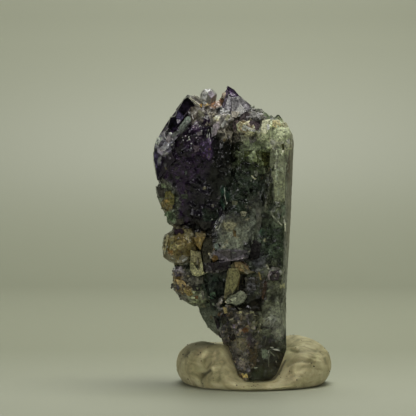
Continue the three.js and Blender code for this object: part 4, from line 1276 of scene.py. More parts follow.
        ("#2A222A", (271, 271.4, 277, 270.6, 280, 274, 278, 280, 272, 281, 270, 276), 0.3, 0.2),
        ("#847A7E", (269.6, 271.6, 270.8, 272, 269.2, 276, 270, 279.6, 268.6, 279.4, 267.6, 275.6), 0.05),
        ("#6A6064", (274, 275, 275.4, 273.6, 277.4, 276, 276, 277), 0.1),
        ("#484640", (271, 267.6, 278, 267, 281, 269.6, 276, 271), 0.2, 0.5),
        ("#84846F", (265.6, 264.4, 267.4, 264.6, 270, 269.6, 267.4, 270), 0.1, 0.5),
        ("#6A6A50", (279.6, 284, 284.6, 283.6, 285, 288, 280.4, 288.4), 0.2, 0.5),
        ("#A6AA9C", (267.4, 317.4, 270, 316.6, 273, 317.6, 272, 320, 268.4, 320), 0.05, 0.6)),
    "lower block": (
        ("#0E0A13", (213.4, 317, 216, 316.8, 218.6, 321, 221, 328, 219.8, 330.2, 217, 328.6), 0.4, 0.05),
        ("#110E11", (229.4, 334, 234, 333.4, 236, 338.6, 232.4, 341, 229, 338), 0.3, 0.1),
        ("#0E0C10", (231.4, 304, 233.6, 304, 240, 311, 238.4, 311.8), 0.3, 0.1),
        ("#A8A27A", (238.6, 311.4, 241.4, 311, 242, 313.4, 239, 313.6), 0.05),
        ("#6C6C54", (249.6, 311.2, 253.6, 311.2, 254, 313.2, 250, 313.4), 0.05),
        ("#3E260C", (243.4, 328, 246.6, 327.4, 247, 332.6, 243.8, 333), 0.05),
        ("#9C8E62", (223, 307, 226.6, 307.6, 227.4, 313, 224.6, 313.4), 0.05),
        ("#45422E", (237, 338, 245, 337, 247.6, 345, 243, 351, 236.6, 347), 0.15),
        ("#171214", (235.4, 354, 241, 355, 240.6, 356.8, 236, 356.2), 0.2),
        ("#1A1518", (251, 340, 255.4, 340.6, 254.6, 346, 251.4, 345.4)),
        ("#605A64", (232.6, 324, 235.6, 324.4, 235, 328.6, 232.8, 328), 0.2),
        ("#2C2415", (249, 349, 257, 348.6, 256, 366, 250, 367), 0.2),
        ("#A4965F", (241.4, 373.6, 247, 373.4, 248, 377.4, 243, 378.4), 0.05),
        ("#5C5549", (238.6, 361, 245, 360.6, 246, 370, 240, 371), 0.15),
        ("#23221A", (221, 317.6, 226, 317, 227.4, 324, 223, 326))),
    "foot": (
        ("#505A4A", (262, 350, 267.4, 349.8, 267.8, 355, 263.6, 359.6, 262, 357), 0.2, 0.5),
        ("#12130E", (270.4, 356, 276, 357, 279, 362, 274, 363.4, 270.8, 361), 0.4, 0.05),
        ("#6E7262", (254, 367, 258, 367.4, 258.4, 372, 254.6, 372)),
        ("#1A1D14", (250.4, 369, 262, 368, 263, 379, 252, 381), 0.4, 0.1),
        ("#555A4A", (269.4, 351.6, 270.6, 351.4, 275.6, 356, 274.6, 356.8), 0.1),
        ("#4C4E42", (268, 353, 269, 353, 269.2, 367, 268.2, 367), 0.2),
        ("#7A7A6A", (274.4, 360, 276.6, 361, 277, 363, 275, 362.4), 0.1)),
}


@dataclass
class Facets:
    """All the flat faces, each set into the stone where its lines of sight meet it."""

    proud: float = 0.06
    covered: float = 0.15
    root: float = 0.6
    flare: float = 1.12
    steepest: float = 0.6
    relief: float = 0.15

    def cut(self, bm: bmesh.types.BMesh, tree: BVHTree, facet: Facet) -> int:
        """Adds one face, with thin sides that run into the stone.

        Args:
            bm: The mesh to add to, in mm.
            tree: The stone's surface, in mm.
            facet: The face.

        Returns:
            How many vertices it has, which is none where the stone isn't behind it.
        """
        corners = np.array([in_plane(c, r) for c, r in zip(facet.corners[::2], facet.corners[1::2])])
        middle = corners.mean(axis=0)
        met = []
        for across, up in np.vstack([corners, (corners + middle) / 2, middle]):
            spot, _ = sighted(tree, across, up)
            if spot is not None:
                met.append((1.0, across - middle[0], up - middle[1], spot.y))
        if len(met) < 4:
            return 0
        met = np.array(met)
        lean = np.linalg.lstsq(met[:, :3], met[:, 3], rcond=None)[0]
        lean[1:] = np.clip(lean[1:], -self.steepest, self.steepest)
        lean[0] += np.quantile(met[:, 3] - met[:, :3] @ lean, self.covered)

        def sunk(place: np.ndarray, by: float) -> bmesh.types.BMVert:
            """Adds a vertex that lies this far behind the face's plane."""
            depth = lean[0] + lean[1] * (place[0] - middle[0]) + lean[2] * (place[1] - middle[1]) + by
            return bm.verts.new(seen((place[0], place[1], depth)))

        front = [sunk(corner, -self.proud) for corner in corners]
        back = [sunk(corner, self.root) for corner in middle + (corners - middle) * self.flare]
        near = sunk(middle, -self.proud)
        far = sunk(middle, self.root)
        count = len(front)
        for k in range(count):
            after = (k + 1) % count
            bm.faces.new((near, front[k], front[after]))
            bm.faces.new((front[k], back[k], back[after], front[after]))
            bm.faces.new((far, back[after], back[k]))
        return 2 * count + 2

    def build(self, tree: BVHTree, finish: bpy.types.Material) -> bpy.types.Object:
        """Cuts the faces.

        Args:
            tree: The surface that they are set into, in mm.
            finish: The stone's material.

        Returns:
            The object.
        """
        bm = bmesh.new()
        tints = []
        values = []
        for facet in (Facet(*row) for rows in FACETS.values() for row in rows):
            count = self.cut(bm, tree, facet)
            tints += [np.array(linear(facet.colour)[:3]) * shown_lift(facet.clear)] * count
            values += [(facet.clear, facet.frost)] * count
        bmesh.ops.recalc_face_normals(bm, faces=bm.faces[:])
        mesh = mesh_of(bm, "crystal_facets")
        places = places_of(mesh)
        set_places(mesh, places)
        values = np.array(values)
        shade = 1 + 0.35 * soft_noise(places, 0.6, 181)
        low = np.full(len(places), self.relief)
        tint = np.minimum(np.array(tints) * shade[:, None], PALEST)
        paint(mesh, Look(tint, values[:, 0], values[:, 1], low, low * 0))
        mesh.materials.append(finish)
        return place_in_scene("crystal_facets", mesh, "fluorite")


def surface_tree(stone: Sequence[bpy.types.Object]) -> BVHTree:
    """Gathers the pieces' surface, in mm, for lines of sight to meet.

    Args:
        stone: The pieces.

    Returns:
        The tree.
    """
    surface = bmesh.new()
    for piece in stone:
        surface.from_mesh(piece.data)
    bmesh.ops.transform(surface, matrix=Matrix.Scale(1 / MM, 4), verts=surface.verts[:])
    tree = BVHTree.FromBMesh(surface)
    surface.free()
    return tree


@dataclass(frozen=True)
class Sliver:
    """A thin flake, most often painted white as a glint: where it is seen from the front, and its size, in
    pixels.
    """

    column: float
    row: float
    length: float
    width: float
    turn: float
    # The usual colour, a painted glint.
    colour: str = "#E2E4D8"


# Each flake: column, row, length, width, turn in degrees, and its colour where it isn't the usual one.
# The sparks, glints, gleams, the star, the bright cleavage and the lines are painted highlights; the wisps,
# crests, ridges and stripes are pale marks of the stone.
SLIVERS = {
    "line down the green streak": (
        (224.6, 190.5, 7.5, 0.9, 86), (225.2, 197.5, 8, 1.1, 98), (226.4, 203, 4.5, 0.8, 110)),
    "line above the slab": (
        (219.6, 226.5, 8, 1.1, 70), (217.6, 229.4, 3, 1.5, 20), (222.4, 221, 5, 0.7, 78)),
    "bright cleavage in the middle": (
        (252.6, 177, 3.4, 1.5, -40), (254.6, 179.4, 3, 1.1, 10), (251.2, 180.6, 2.2, 1, 60),
        (255.4, 175.2, 2.2, 0.9, 70)),
    "gleam at the purple edge": (
        (207.2, 136, 6, 1.6, 84), (208.4, 130.4, 3, 0.9, 60)),
    "sparks on the purple crystal": (
        (196, 123.4, 5.2, 1.6, 32, "#FFFFFF"), (199.6, 126.2, 4.2, 1.4, 40, "#FFFFFF"),
        (193.6, 127.2, 3.2, 1.4, 10, "#FFEAFF"), (201.6, 131, 3, 1.3, 60, "#FFFFFF"),
        (189, 139.4, 2.2, 2.6, 0), (191.4, 143.6, 2, 2.1, 0, "#FFFFFF"),
        (196.4, 137.6, 2, 1.6, 20, "#FFEAFF"), (185.6, 136, 1.8, 1.6, 0, "#FFEAFF")),
    "sparks on the left facets": (
        (170.3, 133.4, 3.2, 3.2, 20), (172.2, 144.6, 3.8, 1.6, 12), (161.6, 138.4, 4.5, 1.3, 58),
        (158.4, 144.4, 5, 1.3, 66), (160.4, 183, 3.8, 2.7, 10), (157.6, 181.6, 2, 1.9, 0)),
    "sparks on the honey crystal": (
        (167.2, 247, 2.8, 2.9, 0), (172.4, 258.2, 3.5, 1.8, -20), (165.4, 251.4, 2.2, 1.6, 60),
        (163.6, 241, 6.2, 1.1, 76, "#B9BCA4")),
    "gleam at the right corner": (
        (292.8, 139.6, 4.2, 2.7, 80), (291.2, 143.4, 4.2, 1.4, 84)),
    "gleams on the finger and the plate": (
        (279.6, 169.6, 2.8, 1.9, 0), (283.6, 216.6, 3.5, 2.9, 30), (284.4, 221.4, 6.2, 1.6, 82),
        (271.4, 213.4, 6.2, 1.1, 62, "#A9AD9A"), (275.8, 206.4, 7, 1.1, 24, "#A9AD9A"),
        (273.6, 197, 15, 1, 93, "#A9AD9A"), (285.2, 190, 32.5, 1, 92, "#9DA18E")),
    "star in the lower right": (
        (270, 318.4, 3.9, 3.9, 0), (269.4, 318.2, 17.9, 1.9, 8, "#B2B6A8"),
        (270.6, 320.4, 17.9, 1.9, 84, "#B2B6A8"), (272.4, 316.2, 14.6, 1.8, -38, "#B2B6A8"),
        (267.6, 320.6, 14.6, 1.8, 46, "#B2B6A8"), (273.6, 323.4, 14.6, 1.8, 62, "#A2A597")),
    "gleam on the foot": (
        (275.8, 349.6, 9.5, 1.8, -12), (271.6, 347.4, 5, 1.1, -8), (268.6, 352.4, 6.2, 1, 80),
        (284.6, 357, 6.2, 1.1, 70, "#9DA18E")),
    "glassy lines in the lower right": (
        (284.6, 300, 27.5, 0.7, 89, "#7E8272"), (280.4, 306, 20, 0.6, 86, "#7E8272"),
        (266.4, 338, 22.5, 0.6, 76, "#7E8272"), (285.6, 270, 25, 0.8, 91, "#8A8D7C")),
    "fine sparks on the purple crystal": (
        (188.8, 137, 2, 1.6, 20, "#FFFFFF"), (183.3, 140.3, 1.8, 1.1, 60, "#FFFFFF"),
        (187.2, 140.6, 2, 1.1, 40, "#FFFFFF"), (182.5, 137.5, 1.5, 1.1, 10, "#FFFFFF"),
        (193.3, 125.7, 2, 1, -30, "#F5EAFF"), (198, 124.5, 2, 1, 30, "#FFFCFF"),
        (196.3, 127.8, 1.5, 1.3, 70, "#FFFFFF"), (191.7, 129.5, 1.8, 1, 10, "#DFD6F0"),
        (201.3, 126.7, 1.9, 1, -50, "#F3E8FF"), (195.5, 122.8, 2.2, 1, 15, "#E2D9ED"),
        (209.3, 136.4, 8, 1.4, 84, "#FFFFFF"), (210.4, 140.6, 3.2, 1.3, 80, "#FFFFFF"),
        (198, 139.5, 1.8, 1, 30, "#C8BCD9"), (203, 145.3, 3, 1.3, 20, "#BFABDF"),
        (199.7, 148.7, 2.8, 1.3, -20, "#9F8BBF"), (205.5, 148.9, 3.2, 1.4, 60, "#A891CB"),
        (207.4, 155.4, 3.8, 1.4, 75, "#886BAE"), (203.6, 152.6, 3, 1.3, -40, "#8268A8"),
        (196.4, 133.4, 1.8, 1, 60, "#CBBFE8"), (191, 146, 1.8, 0.8, 15, "#B0A5C5"),
        (181.4, 152.4, 2, 0.8, 50, "#B6AED0"), (176.8, 158.6, 2, 1, -30, "#9C93B3"),
        (187.6, 161.2, 2.2, 0.8, 25, "#857CA2"), (197.4, 160.4, 2.2, 1, -60, "#796899"),
        (183.2, 172, 2.2, 0.8, 40, "#827996"), (172.4, 170.6, 2, 0.8, -20, "#8E85A8")),
    "glints on the second crystal": (
        (170.4, 133.4, 4.2, 2.4, -30, "#D6DAD6"), (165.4, 138.2, 6.2, 1.3, -52, "#9CA09C"),
        (161.4, 146.4, 7, 1.4, 24, "#BAB8C6"), (167.8, 146.6, 4.2, 1.3, 12, "#CAC8D4"),
        (163.6, 151.4, 5, 1.6, 30, "#A8A0BC"), (157.4, 140.6, 6.2, 1.1, 60, "#8E948C"),
        (157.6, 161.4, 6.2, 1.4, 84, "#8C88A0"), (172.6, 139.6, 3.8, 1.1, -60, "#8A848C")),
    "glint beside the slab": (
        (219.6, 219.4, 7, 1.1, 68, "#C9CCB4"), (216.4, 227.4, 4.4, 1.8, 50, "#C4C6AC"),
        (219.8, 226.4, 5, 1.1, 80, "#B8BAA0"), (214.6, 224, 2.6, 1, 20, "#A2A590"),
        (212, 219.4, 1.6, 1.2, 30, "#C8CAC0")),
    "wisps on the slab": (
        (233.6, 252.8, 6.4, 0.9, -8, "#B2BCAE"), (226.6, 235.4, 7, 0.8, 70, "#B4B69E"),
        (229, 239.4, 5, 0.7, 50, "#A8AB94"), (243.8, 244.6, 6, 0.6, 80, "#9A9D8E"),
        (236.4, 246.8, 8, 0.6, 4, "#A6AA98"), (247.6, 235.6, 6, 0.8, 66, "#A4A592"),
        (222, 250.2, 7, 0.6, 6, "#7E7C80"), (239.6, 230.6, 6, 0.7, -40, "#A4A692"),
        (233, 229.4, 6, 0.8, 24, "#B4B294"), (227.4, 226.4, 5, 0.8, 16, "#A9A88A"),
        (243.6, 256.8, 5, 0.6, 10, "#7A747E"), (226.8, 256.4, 6, 0.6, -6, "#7A747E")),
    "sparks on the lower right crystal": (
        (270.6, 274.6, 4.2, 0.9, 60, "#D6CCDC"), (274.6, 278.2, 3.2, 0.9, -30, "#D6CCDC"),
        (277.2, 272, 3, 0.9, 20, "#C9B6CC"), (268, 268.6, 4, 0.9, -20)),
    "pale crest of the lower block": (
        (236.4, 312.6, 4, 1.3, -24, "#D2C9A6"), (239.6, 309, 5, 0.8, -60, "#B7B49C"),
        (246, 314, 6, 0.9, 6, "#B7B49C"), (255, 315.4, 6, 0.8, -4, "#B7B49C"),
        (232, 334.4, 5, 0.7, 50, "#8F8A78"), (243.6, 338.6, 4, 0.7, -30, "#8F8A78")),
    "pale line at the window": (
        (207.6, 300, 16, 0.8, 96, "#9A9D88"),),
    "cream ridges on the crust": (
        (247.6, 124.4, 7, 1.2, -34, "#CFC7A4"), (250.6, 129.4, 7, 1.3, 14, "#DDD9C2"),
        (241.6, 125, 5, 1.2, 20, "#C2AE84"), (252.6, 133.4, 4, 1, 30, "#BDB79A")),
    "stripes on the crown": (
        (193.4, 101, 9, 0.8, -46, "#A9A79E"), (196.8, 103.6, 8, 0.7, -46, "#B9A98A"),
        (199.6, 105.8, 6, 0.7, -46, "#8F8A84")),
}


@dataclass
class Slivers:
    """All the flakes, most of them painted glints, each laid on the stone where its line of sight meets it.
    """

    thickness: float = 0.16
    # Lifts the flakes' colours, their painted glints with them.
    brighten: float = 1.1

    def lay(self, bm: bmesh.types.BMesh, tree: BVHTree, sliver: Sliver) -> int:
        """Adds one flake.

        Args:
            bm: The mesh to add to, in mm.
            tree: The stone's surface, in mm.
            sliver: The flake.

        Returns:
            How many vertices it has, which is none where nothing lies behind its place.
        """
        spot, normal = sighted(tree, *in_plane(sliver.column, sliver.row))
        if spot is None:
            return 0
        along = Vector((math.cos(math.radians(sliver.turn)), 0, math.sin(math.radians(sliver.turn))))
        along = (along - normal * along.dot(normal) * 0.8).normalized()
        aside = normal.cross(along).normalized()
        half_length = sliver.length * PIXEL / 2
        half_width = sliver.width * PIXEL / 2
        corners = [spot + along * half_length, spot - along * half_length,
                   spot + aside * half_width + along * half_length * 0.3,
                   spot - aside * half_width - along * half_length * 0.2,
                   spot + normal * self.thickness * 0.6, spot - normal * self.thickness]
        verts = [bm.verts.new(c) for c in corners]
        for first, second in ((0, 2), (2, 1), (1, 3), (3, 0)):
            bm.faces.new((verts[first], verts[second], verts[4]))
            bm.faces.new((verts[second], verts[first], verts[5]))
        return len(verts)

    def build(self, tree: BVHTree) -> bpy.types.Object:
        """Lays the flakes.

        Args:
            tree: The surface that they lie on, in mm.

        Returns:
            The object.
        """
        bm = bmesh.new()
        tints = []
        for sliver in (Sliver(*row) for rows in SLIVERS.values() for row in rows):
            tints += [linear(sliver.colour)[:3]] * self.lay(bm, tree, sliver)
        bmesh.ops.recalc_face_normals(bm, faces=bm.faces[:])
        mesh = mesh_of(bm, "slivers_with_painted_glints")
        places = places_of(mesh)
        set_places(mesh, places)
        paint(mesh, Look.at(places).tinted(np.array(tints) * self.brighten))
        mesh.materials.append(FLAKES_WITH_PAINTED_GLINTS.make())
        return place_in_scene("slivers_with_painted_glints", mesh, "fluorite")


@dataclass
class Druse:
    """Tiny octahedra on one lattice, sown over the body by Geometry Nodes where the stone is rough."""

    name: str
    sown: str
    finish: CrystalFinish
    per_square_mm: float
    smallest: float
    largest: float
    wobble: float
    seed: int
    slot: str = "fluorite"

    def tree(self, material: bpy.types.Material) -> bpy.types.GeometryNodeTree:
        """Builds the node tree that sows the grains.

        Args:
            material: The grains' material.

        Returns:
            The tree.
        """
        tree = bpy.data.node_groups.new(self.name, "GeometryNodeTree")
        tree.interface.new_socket("Body", in_out="INPUT", socket_type="NodeSocketGeometry")
        for title in ("Per square metre", "Smallest", "Largest", "Wobble"):
            tree.interface.new_socket(title, in_out="INPUT", socket_type="NodeSocketFloat")
        tree.interface.new_socket("Grains", in_out="OUTPUT", socket_type="NodeSocketGeometry")
        given = add_node(tree, "NodeGroupInput").outputs
        weight = add_node(tree, "GeometryNodeInputNamedAttribute",
                          {"data_type": "FLOAT", "Name": self.sown})
        density = add_node(tree, "ShaderNodeMath", {"operation": "MULTIPLY"},
                           {0: weight.outputs["Attribute"], 1: given["Per square metre"]}).outputs[0]
        spots = add_node(tree, "GeometryNodeDistributePointsOnFaces", {"Seed": self.seed},
                         {"Mesh": given["Body"], "Density": density})
        octahedron = add_node(tree, "GeometryNodeMeshUVSphere", {"Segments": 4, "Rings": 2, "Radius": 1.0})
        size = add_node(tree, "FunctionNodeRandomValue", {"data_type": "FLOAT", "Seed": self.seed + 1},
                        {2: given["Smallest"], 3: given["Largest"]}).outputs[1]
        swing = add_node(tree, "ShaderNodeCombineXYZ",
                         links={k: given["Wobble"] for k in range(3)}).outputs[0]
        back = add_node(tree, "ShaderNodeVectorMath", {"operation": "SCALE", "Scale": -1.0},
                        {0: swing}).outputs[0]
        wobble = add_node(tree, "FunctionNodeRandomValue",
                          {"data_type": "FLOAT_VECTOR", "Seed": self.seed + 2},
                          {0: back, 1: swing}).outputs[0]
        turn = add_node(tree, "ShaderNodeVectorMath", {"operation": "ADD", 1: tuple(LATTICE_TURN)},
                        {0: wobble}).outputs[0]
        grains = add_node(tree, "GeometryNodeInstanceOnPoints",
                          links={"Points": spots.outputs["Points"], "Instance": octahedron.outputs["Mesh"],
                                 "Rotation": turn, "Scale": size}).outputs[0]
        real = add_node(tree, "GeometryNodeRealizeInstances", links={"Geometry": grains}).outputs[0]
        flat = add_node(tree, "GeometryNodeSetShadeSmooth", {"Shade Smooth": False},
                        {"Geometry": real}).outputs[0]
        dressed = add_node(tree, "GeometryNodeSetMaterial", {"Material": material},
                           {"Geometry": flat}).outputs[0]
        add_node(tree, "NodeGroupOutput", links={"Grains": dressed})
        return tree

    def build(self, body: bpy.types.Object) -> bpy.types.Object:
        """Sows the grains on a piece, and hides the imported part that its slot names.

        Args:
            body: The piece.

        Returns:
            The object.
        """
        carrier = bpy.data.objects.new(self.name + "_carrier", body.data.copy())
        bpy.context.scene.collection.objects.link(carrier)
        sowing = carrier.modifiers.new("sowing", "NODES")
        sowing.node_group = self.tree(self.finish.make())
        sizes = {"Per square metre": self.per_square_mm / MM ** 2, "Smallest": self.smallest * MM,
                 "Largest": self.largest * MM, "Wobble": self.wobble}
        for item in sowing.node_group.interface.items_tree:
            if item.name in sizes:
                sowing[item.identifier] = sizes[item.name]
        return place_in_scene(self.name, evaluated(carrier, self.name), self.slot)


HONEY = {
    "honey": (
        (-13.9, 21, -1), (-13.7, 19.4, -1.2), (-12.8, 18, -1.6), (-12.9, 22.8, -1), (-12.6, 21.9, -4.8),
        (-10.6, 22.6, -4.6), (-12.4, 19.2, -5.2), (-10.4, 17.8, -4.6), (-9.2, 21, -5.4),
        (-11.2, 20.6, -5.9), (-8.4, 19.6, -4.6), (-8.9, 22.5, -3.6), (-12.6, 20.6, 3.2), (-10, 18, 1),
        (-9.4, 22.6, 2)),
}
LILAC = {
    "summit tip": (
        (-7.5, 44.1, 0), (-6.3, 44.15, 0.2), (-8.05, 43.4, 0.1), (-8.15, 42.6, 0.2), (-7.7, 41.8, 0.2),
        (-5.55, 43.4, 0.2), (-5.65, 42.5, 0.3), (-6.2, 41.8, 0.3), (-7.1, 43.5, -1.2), (-6.3, 43.1, -1.1),
        (-7.5, 42.5, -1.1), (-6.8, 41.3, -0.9), (-6.8, 43.2, 1.6), (-6.8, 41.6, 1.2)),
    "lower right crystal": (
        (2.8, 17.5, -5.6), (1.9, 16.6, -5.7), (3.7, 16.7, -5.6), (3.4, 15.5, -5.6), (2.3, 15.6, -5.7),
        (2.8, 16.5, -6.9), (2.8, 16.3, -4.6)),
    "its neighbour above": (
        (2, 17.8, -5.4), (1.3, 17.4, -5.5), (2.2, 17, -5.4), (1.8, 17.4, -6.2), (1.7, 17.3, -4.8)),
    "its neighbour at right": (
        (3.9, 17.2, -5.2), (3.5, 16.6, -5.3), (4.4, 16.5, -5.2), (3.9, 16, -5.2), (3.9, 16.7, -6),
        (3.9, 16.6, -4.6)),
}
FROSTED = {
    "finger": (
        (2.9, 34.8, -4.6), (4.7, 34.6, -4.4), (4.75, 30, -4.6), (4.5, 27.1, -4.8), (3.1, 27.3, -4.9),
        (3.2, 34.2, -5.6), (4.3, 33.9, -5.5), (4.25, 27.9, -5.9), (3.4, 28, -6), (3.7, 35.8, -3),
        (3.8, 27, -2.6)),
    "diamond plate": (
        (2.5, 25.3, -4.9), (3.3, 26.8, -5.2), (4.6, 26.4, -5), (4.8, 24.4, -4.9), (4, 23.4, -5.1),
        (3.2, 24.1, -5.6), (3.5, 26, -5.8), (4.3, 25.8, -5.7), (3.8, 25.2, -3.4)),
}
BLADES = {
    "wedge": (
        (-8.9, 22.6, -4.6), (-7.2, 22.4, -4.9), (-8, 20.4, -5.4), (-8.2, 21.8, -5.7), (-8, 21.8, -2.8)),
    "beige finger": (
        (-9.7, 19.3, -4.2), (-8.1, 19.5, -4.4), (-9.2, 16.5, -4.6), (-8.1, 16.1, -4.8), (-7.4, 16.8, -4.6),
        (-8.7, 18.8, -5.7), (-8.3, 16.9, -5.8), (-8.4, 18, -1.6)),
    "blade": (
        (-3.7, 17.7, -5.8), (-2.6, 18.3, -6), (-0.4, 16.7, -6.2), (-0.9, 16.1, -6), (-3, 16.9, -6.1),
        (-1.7, 17.4, -6.7), (-1.8, 17, -4.6)),
    "column": (
        (-3.9, 17, -5.6), (-2.2, 16.9, -5.8), (-2.3, 13.6, -5.8), (-4.6, 12.6, -5.5), (-3.4, 15.4, -6.4),
        (-3.6, 13.4, -6.3), (-3.2, 14.8, -3.4)),
    "pale shard": (
        (-4.6, 12, -5.9), (-3.8, 13.2, -6), (-1.5, 13.9, -6.2), (-1.2, 13, -6.3), (-2, 12.2, -6.4),
        (-2.7, 13.1, -7.1), (-2.6, 12.8, -4.6)),
}
SHARP = {
    "peak": (
        (-3.8, 44.5, 0.4), (-4.9, 42.8, -0.6), (-5.3, 40.6, -1.4), (-4.5, 39.8, -3.9), (-0.4, 41.6, 0.4),
        (-0.7, 40, -3.4), (-3.6, 41, 4), (-0.8, 40.6, 3.2), (-2.4, 38.6, -1)),
    "crown tip": (
        (-10, 43.25, 0.4), (-8.7, 42.95, 0.8), (-11.7, 41, -0.1), (-8.9, 42.35, -2.7), (-10.3, 39.8, -4.2),
        (-9.7, 41.8, 4), (-8.2, 41.6, 1), (-9, 39.8, 0)),
    "side crystal": (
        (-15.1, 34.6, -1.8), (-14.6, 35.6, -3), (-12.6, 35.4, -5.6), (-11.9, 33.4, -5.4),
        (-14.5, 30.4, -2.6), (-15.1, 33, 1.4), (-12.6, 35.6, 2), (-12.4, 30.4, 1.6)),
    "ledge": (
        (-9.3, 40.1, -4.9), (-9, 39.5, -5.6), (-10.4, 38, -6.2), (-11.9, 36.4, -6.45), (-12.4, 35.9, -6.2),
        (-12.2, 37.2, -5.2), (-10.4, 39.3, -4.9), (-10.8, 37.4, -4)),
    "lilac facet": (
        (-13.9, 37.5, -2.4), (-14.7, 36.2, -2), (-14.5, 34.6, -3.6), (-13.5, 34.2, -5.3),
        (-12, 35.2, -6.1), (-11.8, 36.2, -6.1), (-12.6, 37.6, -4.4), (-12.4, 36, -2.4)),
}


def small_crystals() -> list[SmallCrystals]:
    """Lists the small crystals that stand on the body.

    Returns:
        The groups, one for each mineral.
    """
    return [
        SmallCrystals("sharp_crystals", SHARP, PURPLE_FLUORITE, Habit.SHARP, "#2A1E38", own_share=0.0,
                      chip=0.07, sharp=True, proud=0.03),
        SmallCrystals("honey_crystal", HONEY, HONEY_FLUORITE, Habit.ROUNDED, "#A08C54", chip=0.5),
        SmallCrystals("lilac_crystals", LILAC, LILAC_FLUORITE, Habit.SHARP, "#DCDDD8", own_share=0.95,
                      chip=0.12),
        SmallCrystals("frosted_crystals", FROSTED, FROSTED_FLUORITE, Habit.STEPPED, "#9AA08A",
                      own_share=0.5, chip=0.2),
        SmallCrystals("tan_blades", BLADES, TAN_BARITE, Habit.RAGGED, "#94885F", own_share=0.5, chip=0.12),
    ]


@dataclass(frozen=True)
class KneadedPutty:
    """Old kneaded putty: matt and faintly waxy, tan, with olive smears, specks, patches of dirt, and
    painted shade in its creases and pits.
    """

    name: str = "kneaded_putty"
    shade: str = "#7F7A56"
    body: str = "#A39C76"
    light: str = "#B7B08C"
    # The colour of the dirt, and of the painted shade in creases and pits.
    dirt_and_shade: str = "#39351F"
    smear_width: float = 3.4
    grain_width: float = 0.28
    grain_depth: float = 0.06
    roughness: float = 0.68
    ior: float = 1.46

    def make(self) -> bpy.types.Material:
        """Builds the material.

        Returns:
            The material.
        """
        material, wiring = new_material(self.name)
        place = wiring.add("TexCoord").outputs["Object"]
        smear = wiring.noise(place, self.smear_width, 6.0, 0.6, 1.4)["Fac"]
        body = wiring.add("ValToRGB", inputs={"Fac": smear})
        stops = body.color_ramp.elements
        stops.new(0.5)
        smears = ((0.34, self.shade), (0.5, self.body), (0.66, self.light))
        for stop, (position, colour) in zip(stops, smears):
            stop.position = position
            stop.color = linear(colour)
        grain = wiring.noise(place, self.grain_width, 4.0, 0.7)["Fac"]
        specks = wiring.ranged(grain, 0.66, 0.7)
        # Dirt, painted shade in creases and pits, and specks darken the putty.
        dirt_and_shade_share = wiring.math("MINIMUM", wiring.math("MULTIPLY_ADD", wiring.read(DIRT_AND_SHADE), 0.9, specks), 0.85)
        bump = wiring.add("Bump", inputs={"Strength": 0.5, "Distance": self.grain_depth * MM,
                                          "Height": grain})
        surface = wiring.add("BsdfPrincipled", inputs={
            "Roughness": self.roughness, "IOR": self.ior, "Normal": bump.outputs["Normal"],
            "Base Color": wiring.mix(dirt_and_shade_share, body.outputs["Color"], linear(self.dirt_and_shade))})
        wiring.close(surface)
        return material


@dataclass(frozen=True)
class Crease:
    """A line pressed or folded into the putty, along points of the front view, in pixels."""

    name: str
    line: tuple[tuple[float, float], ...]
    width: float
    depth: float
    lip: float = 0.0
    # How much the crease darkens the putty in its fold, as painted shade.
    dirt_and_shade: float = 0.5

    def distance(self, column: np.ndarray, row: np.ndarray) -> tuple[np.ndarray, np.ndarray]:
        """Measures how far places are seen from the line.

        Args:
            column: The places' columns.
            row: The places' rows.

        Returns:
            The distance in mm, and the side on which each place lies, 1 or -1.
        """
        nearest = np.full(len(column), 99.0)
        side = np.ones(len(column))
        for (x0, y0), (x1, y1) in zip(self.line, self.line[1:]):
            along = np.array((x1 - x0, y1 - y0))
            length = np.hypot(*along)
            along = along / length
            t = np.clip((column - x0) * along[0] + (row - y0) * along[1], 0, length)
            far = np.hypot(column - x0 - t * along[0], row - y0 - t * along[1]) * PIXEL
            across = (column - x0) * along[1] - (row - y0) * along[0]
            closer = far < nearest
            nearest[closer] = far[closer]
            side[closer] = np.sign(across[closer])
        return nearest, side


CREASES = (
    Crease("fold of the rope end", ((211, 362), (205, 368), (201.5, 375), (200.7, 382), (203.5, 389)), 0.3,
           0.26, lip=0.22),
    Crease("pit at the fold", ((202.5, 375), (206, 372.4), (208.4, 370.6)), 0.5, 0.6, dirt_and_shade=1.0),
    Crease("shadow under the foot", ((240, 374), (246, 379.8), (256, 381), (266, 380.4), (274, 377.6),
                                     (280, 370), (285, 360)), 0.3, 0.2, dirt_and_shade=1.0),
    Crease("nick at the left", ((184.6, 355.4), (188.6, 351.8)), 0.3, 0.25, dirt_and_shade=1.0),
    Crease("wrinkle in the rope end", ((218, 358), (213, 366), (211, 375)), 0.25, 0.1, dirt_and_shade=0.3),
    Crease("second wrinkle", ((226, 362), (220, 371), (219, 380)), 0.25, 0.1, dirt_and_shade=0.3),
    Crease("right fold", ((287, 366), (293, 362.5), (301, 361), (309, 362)), 0.28, 0.22, lip=0.12),
    Crease("fold under the coil", ((290, 350), (297, 351.5), (307, 350), (316, 351)), 0.32, 0.25, lip=0.14),
    Crease("outer wrinkle", ((320, 350), (324, 356), (326, 364)), 0.35, 0.14, lip=0.08, dirt_and_shade=0.25),
    Crease("lower right wrinkle", ((284, 379), (294, 376), (302, 376.5)), 0.22, 0.09, dirt_and_shade=0.4),
    Crease("rim of the right lobe", ((298, 370), (306, 367), (316, 369)), 0.4, 0.12, lip=0.08, dirt_and_shade=0.1),
)

# Ovals of the front view: middle column and row, half width and half height, in pixels.
PITTED_SPOTS = ((300, 346, 9, 3.2), (292, 378, 6, 3.5), (310, 373, 12, 3), (212, 381, 8, 4))
FINGER_PRINTS = ((196, 357, 19, 9), (309, 357, 12, 8))
# An oval of the front view along the top of the left lobe, where the putty is darkened.
DARKER_TOP_BAND = (203, 345, 27, 5.5)
FINGER_RIDGE = 0.48
# The middle of the ridges' curves, from the print's own middle, in pixels.
RIDGE_MIDDLE = (-30, 26)


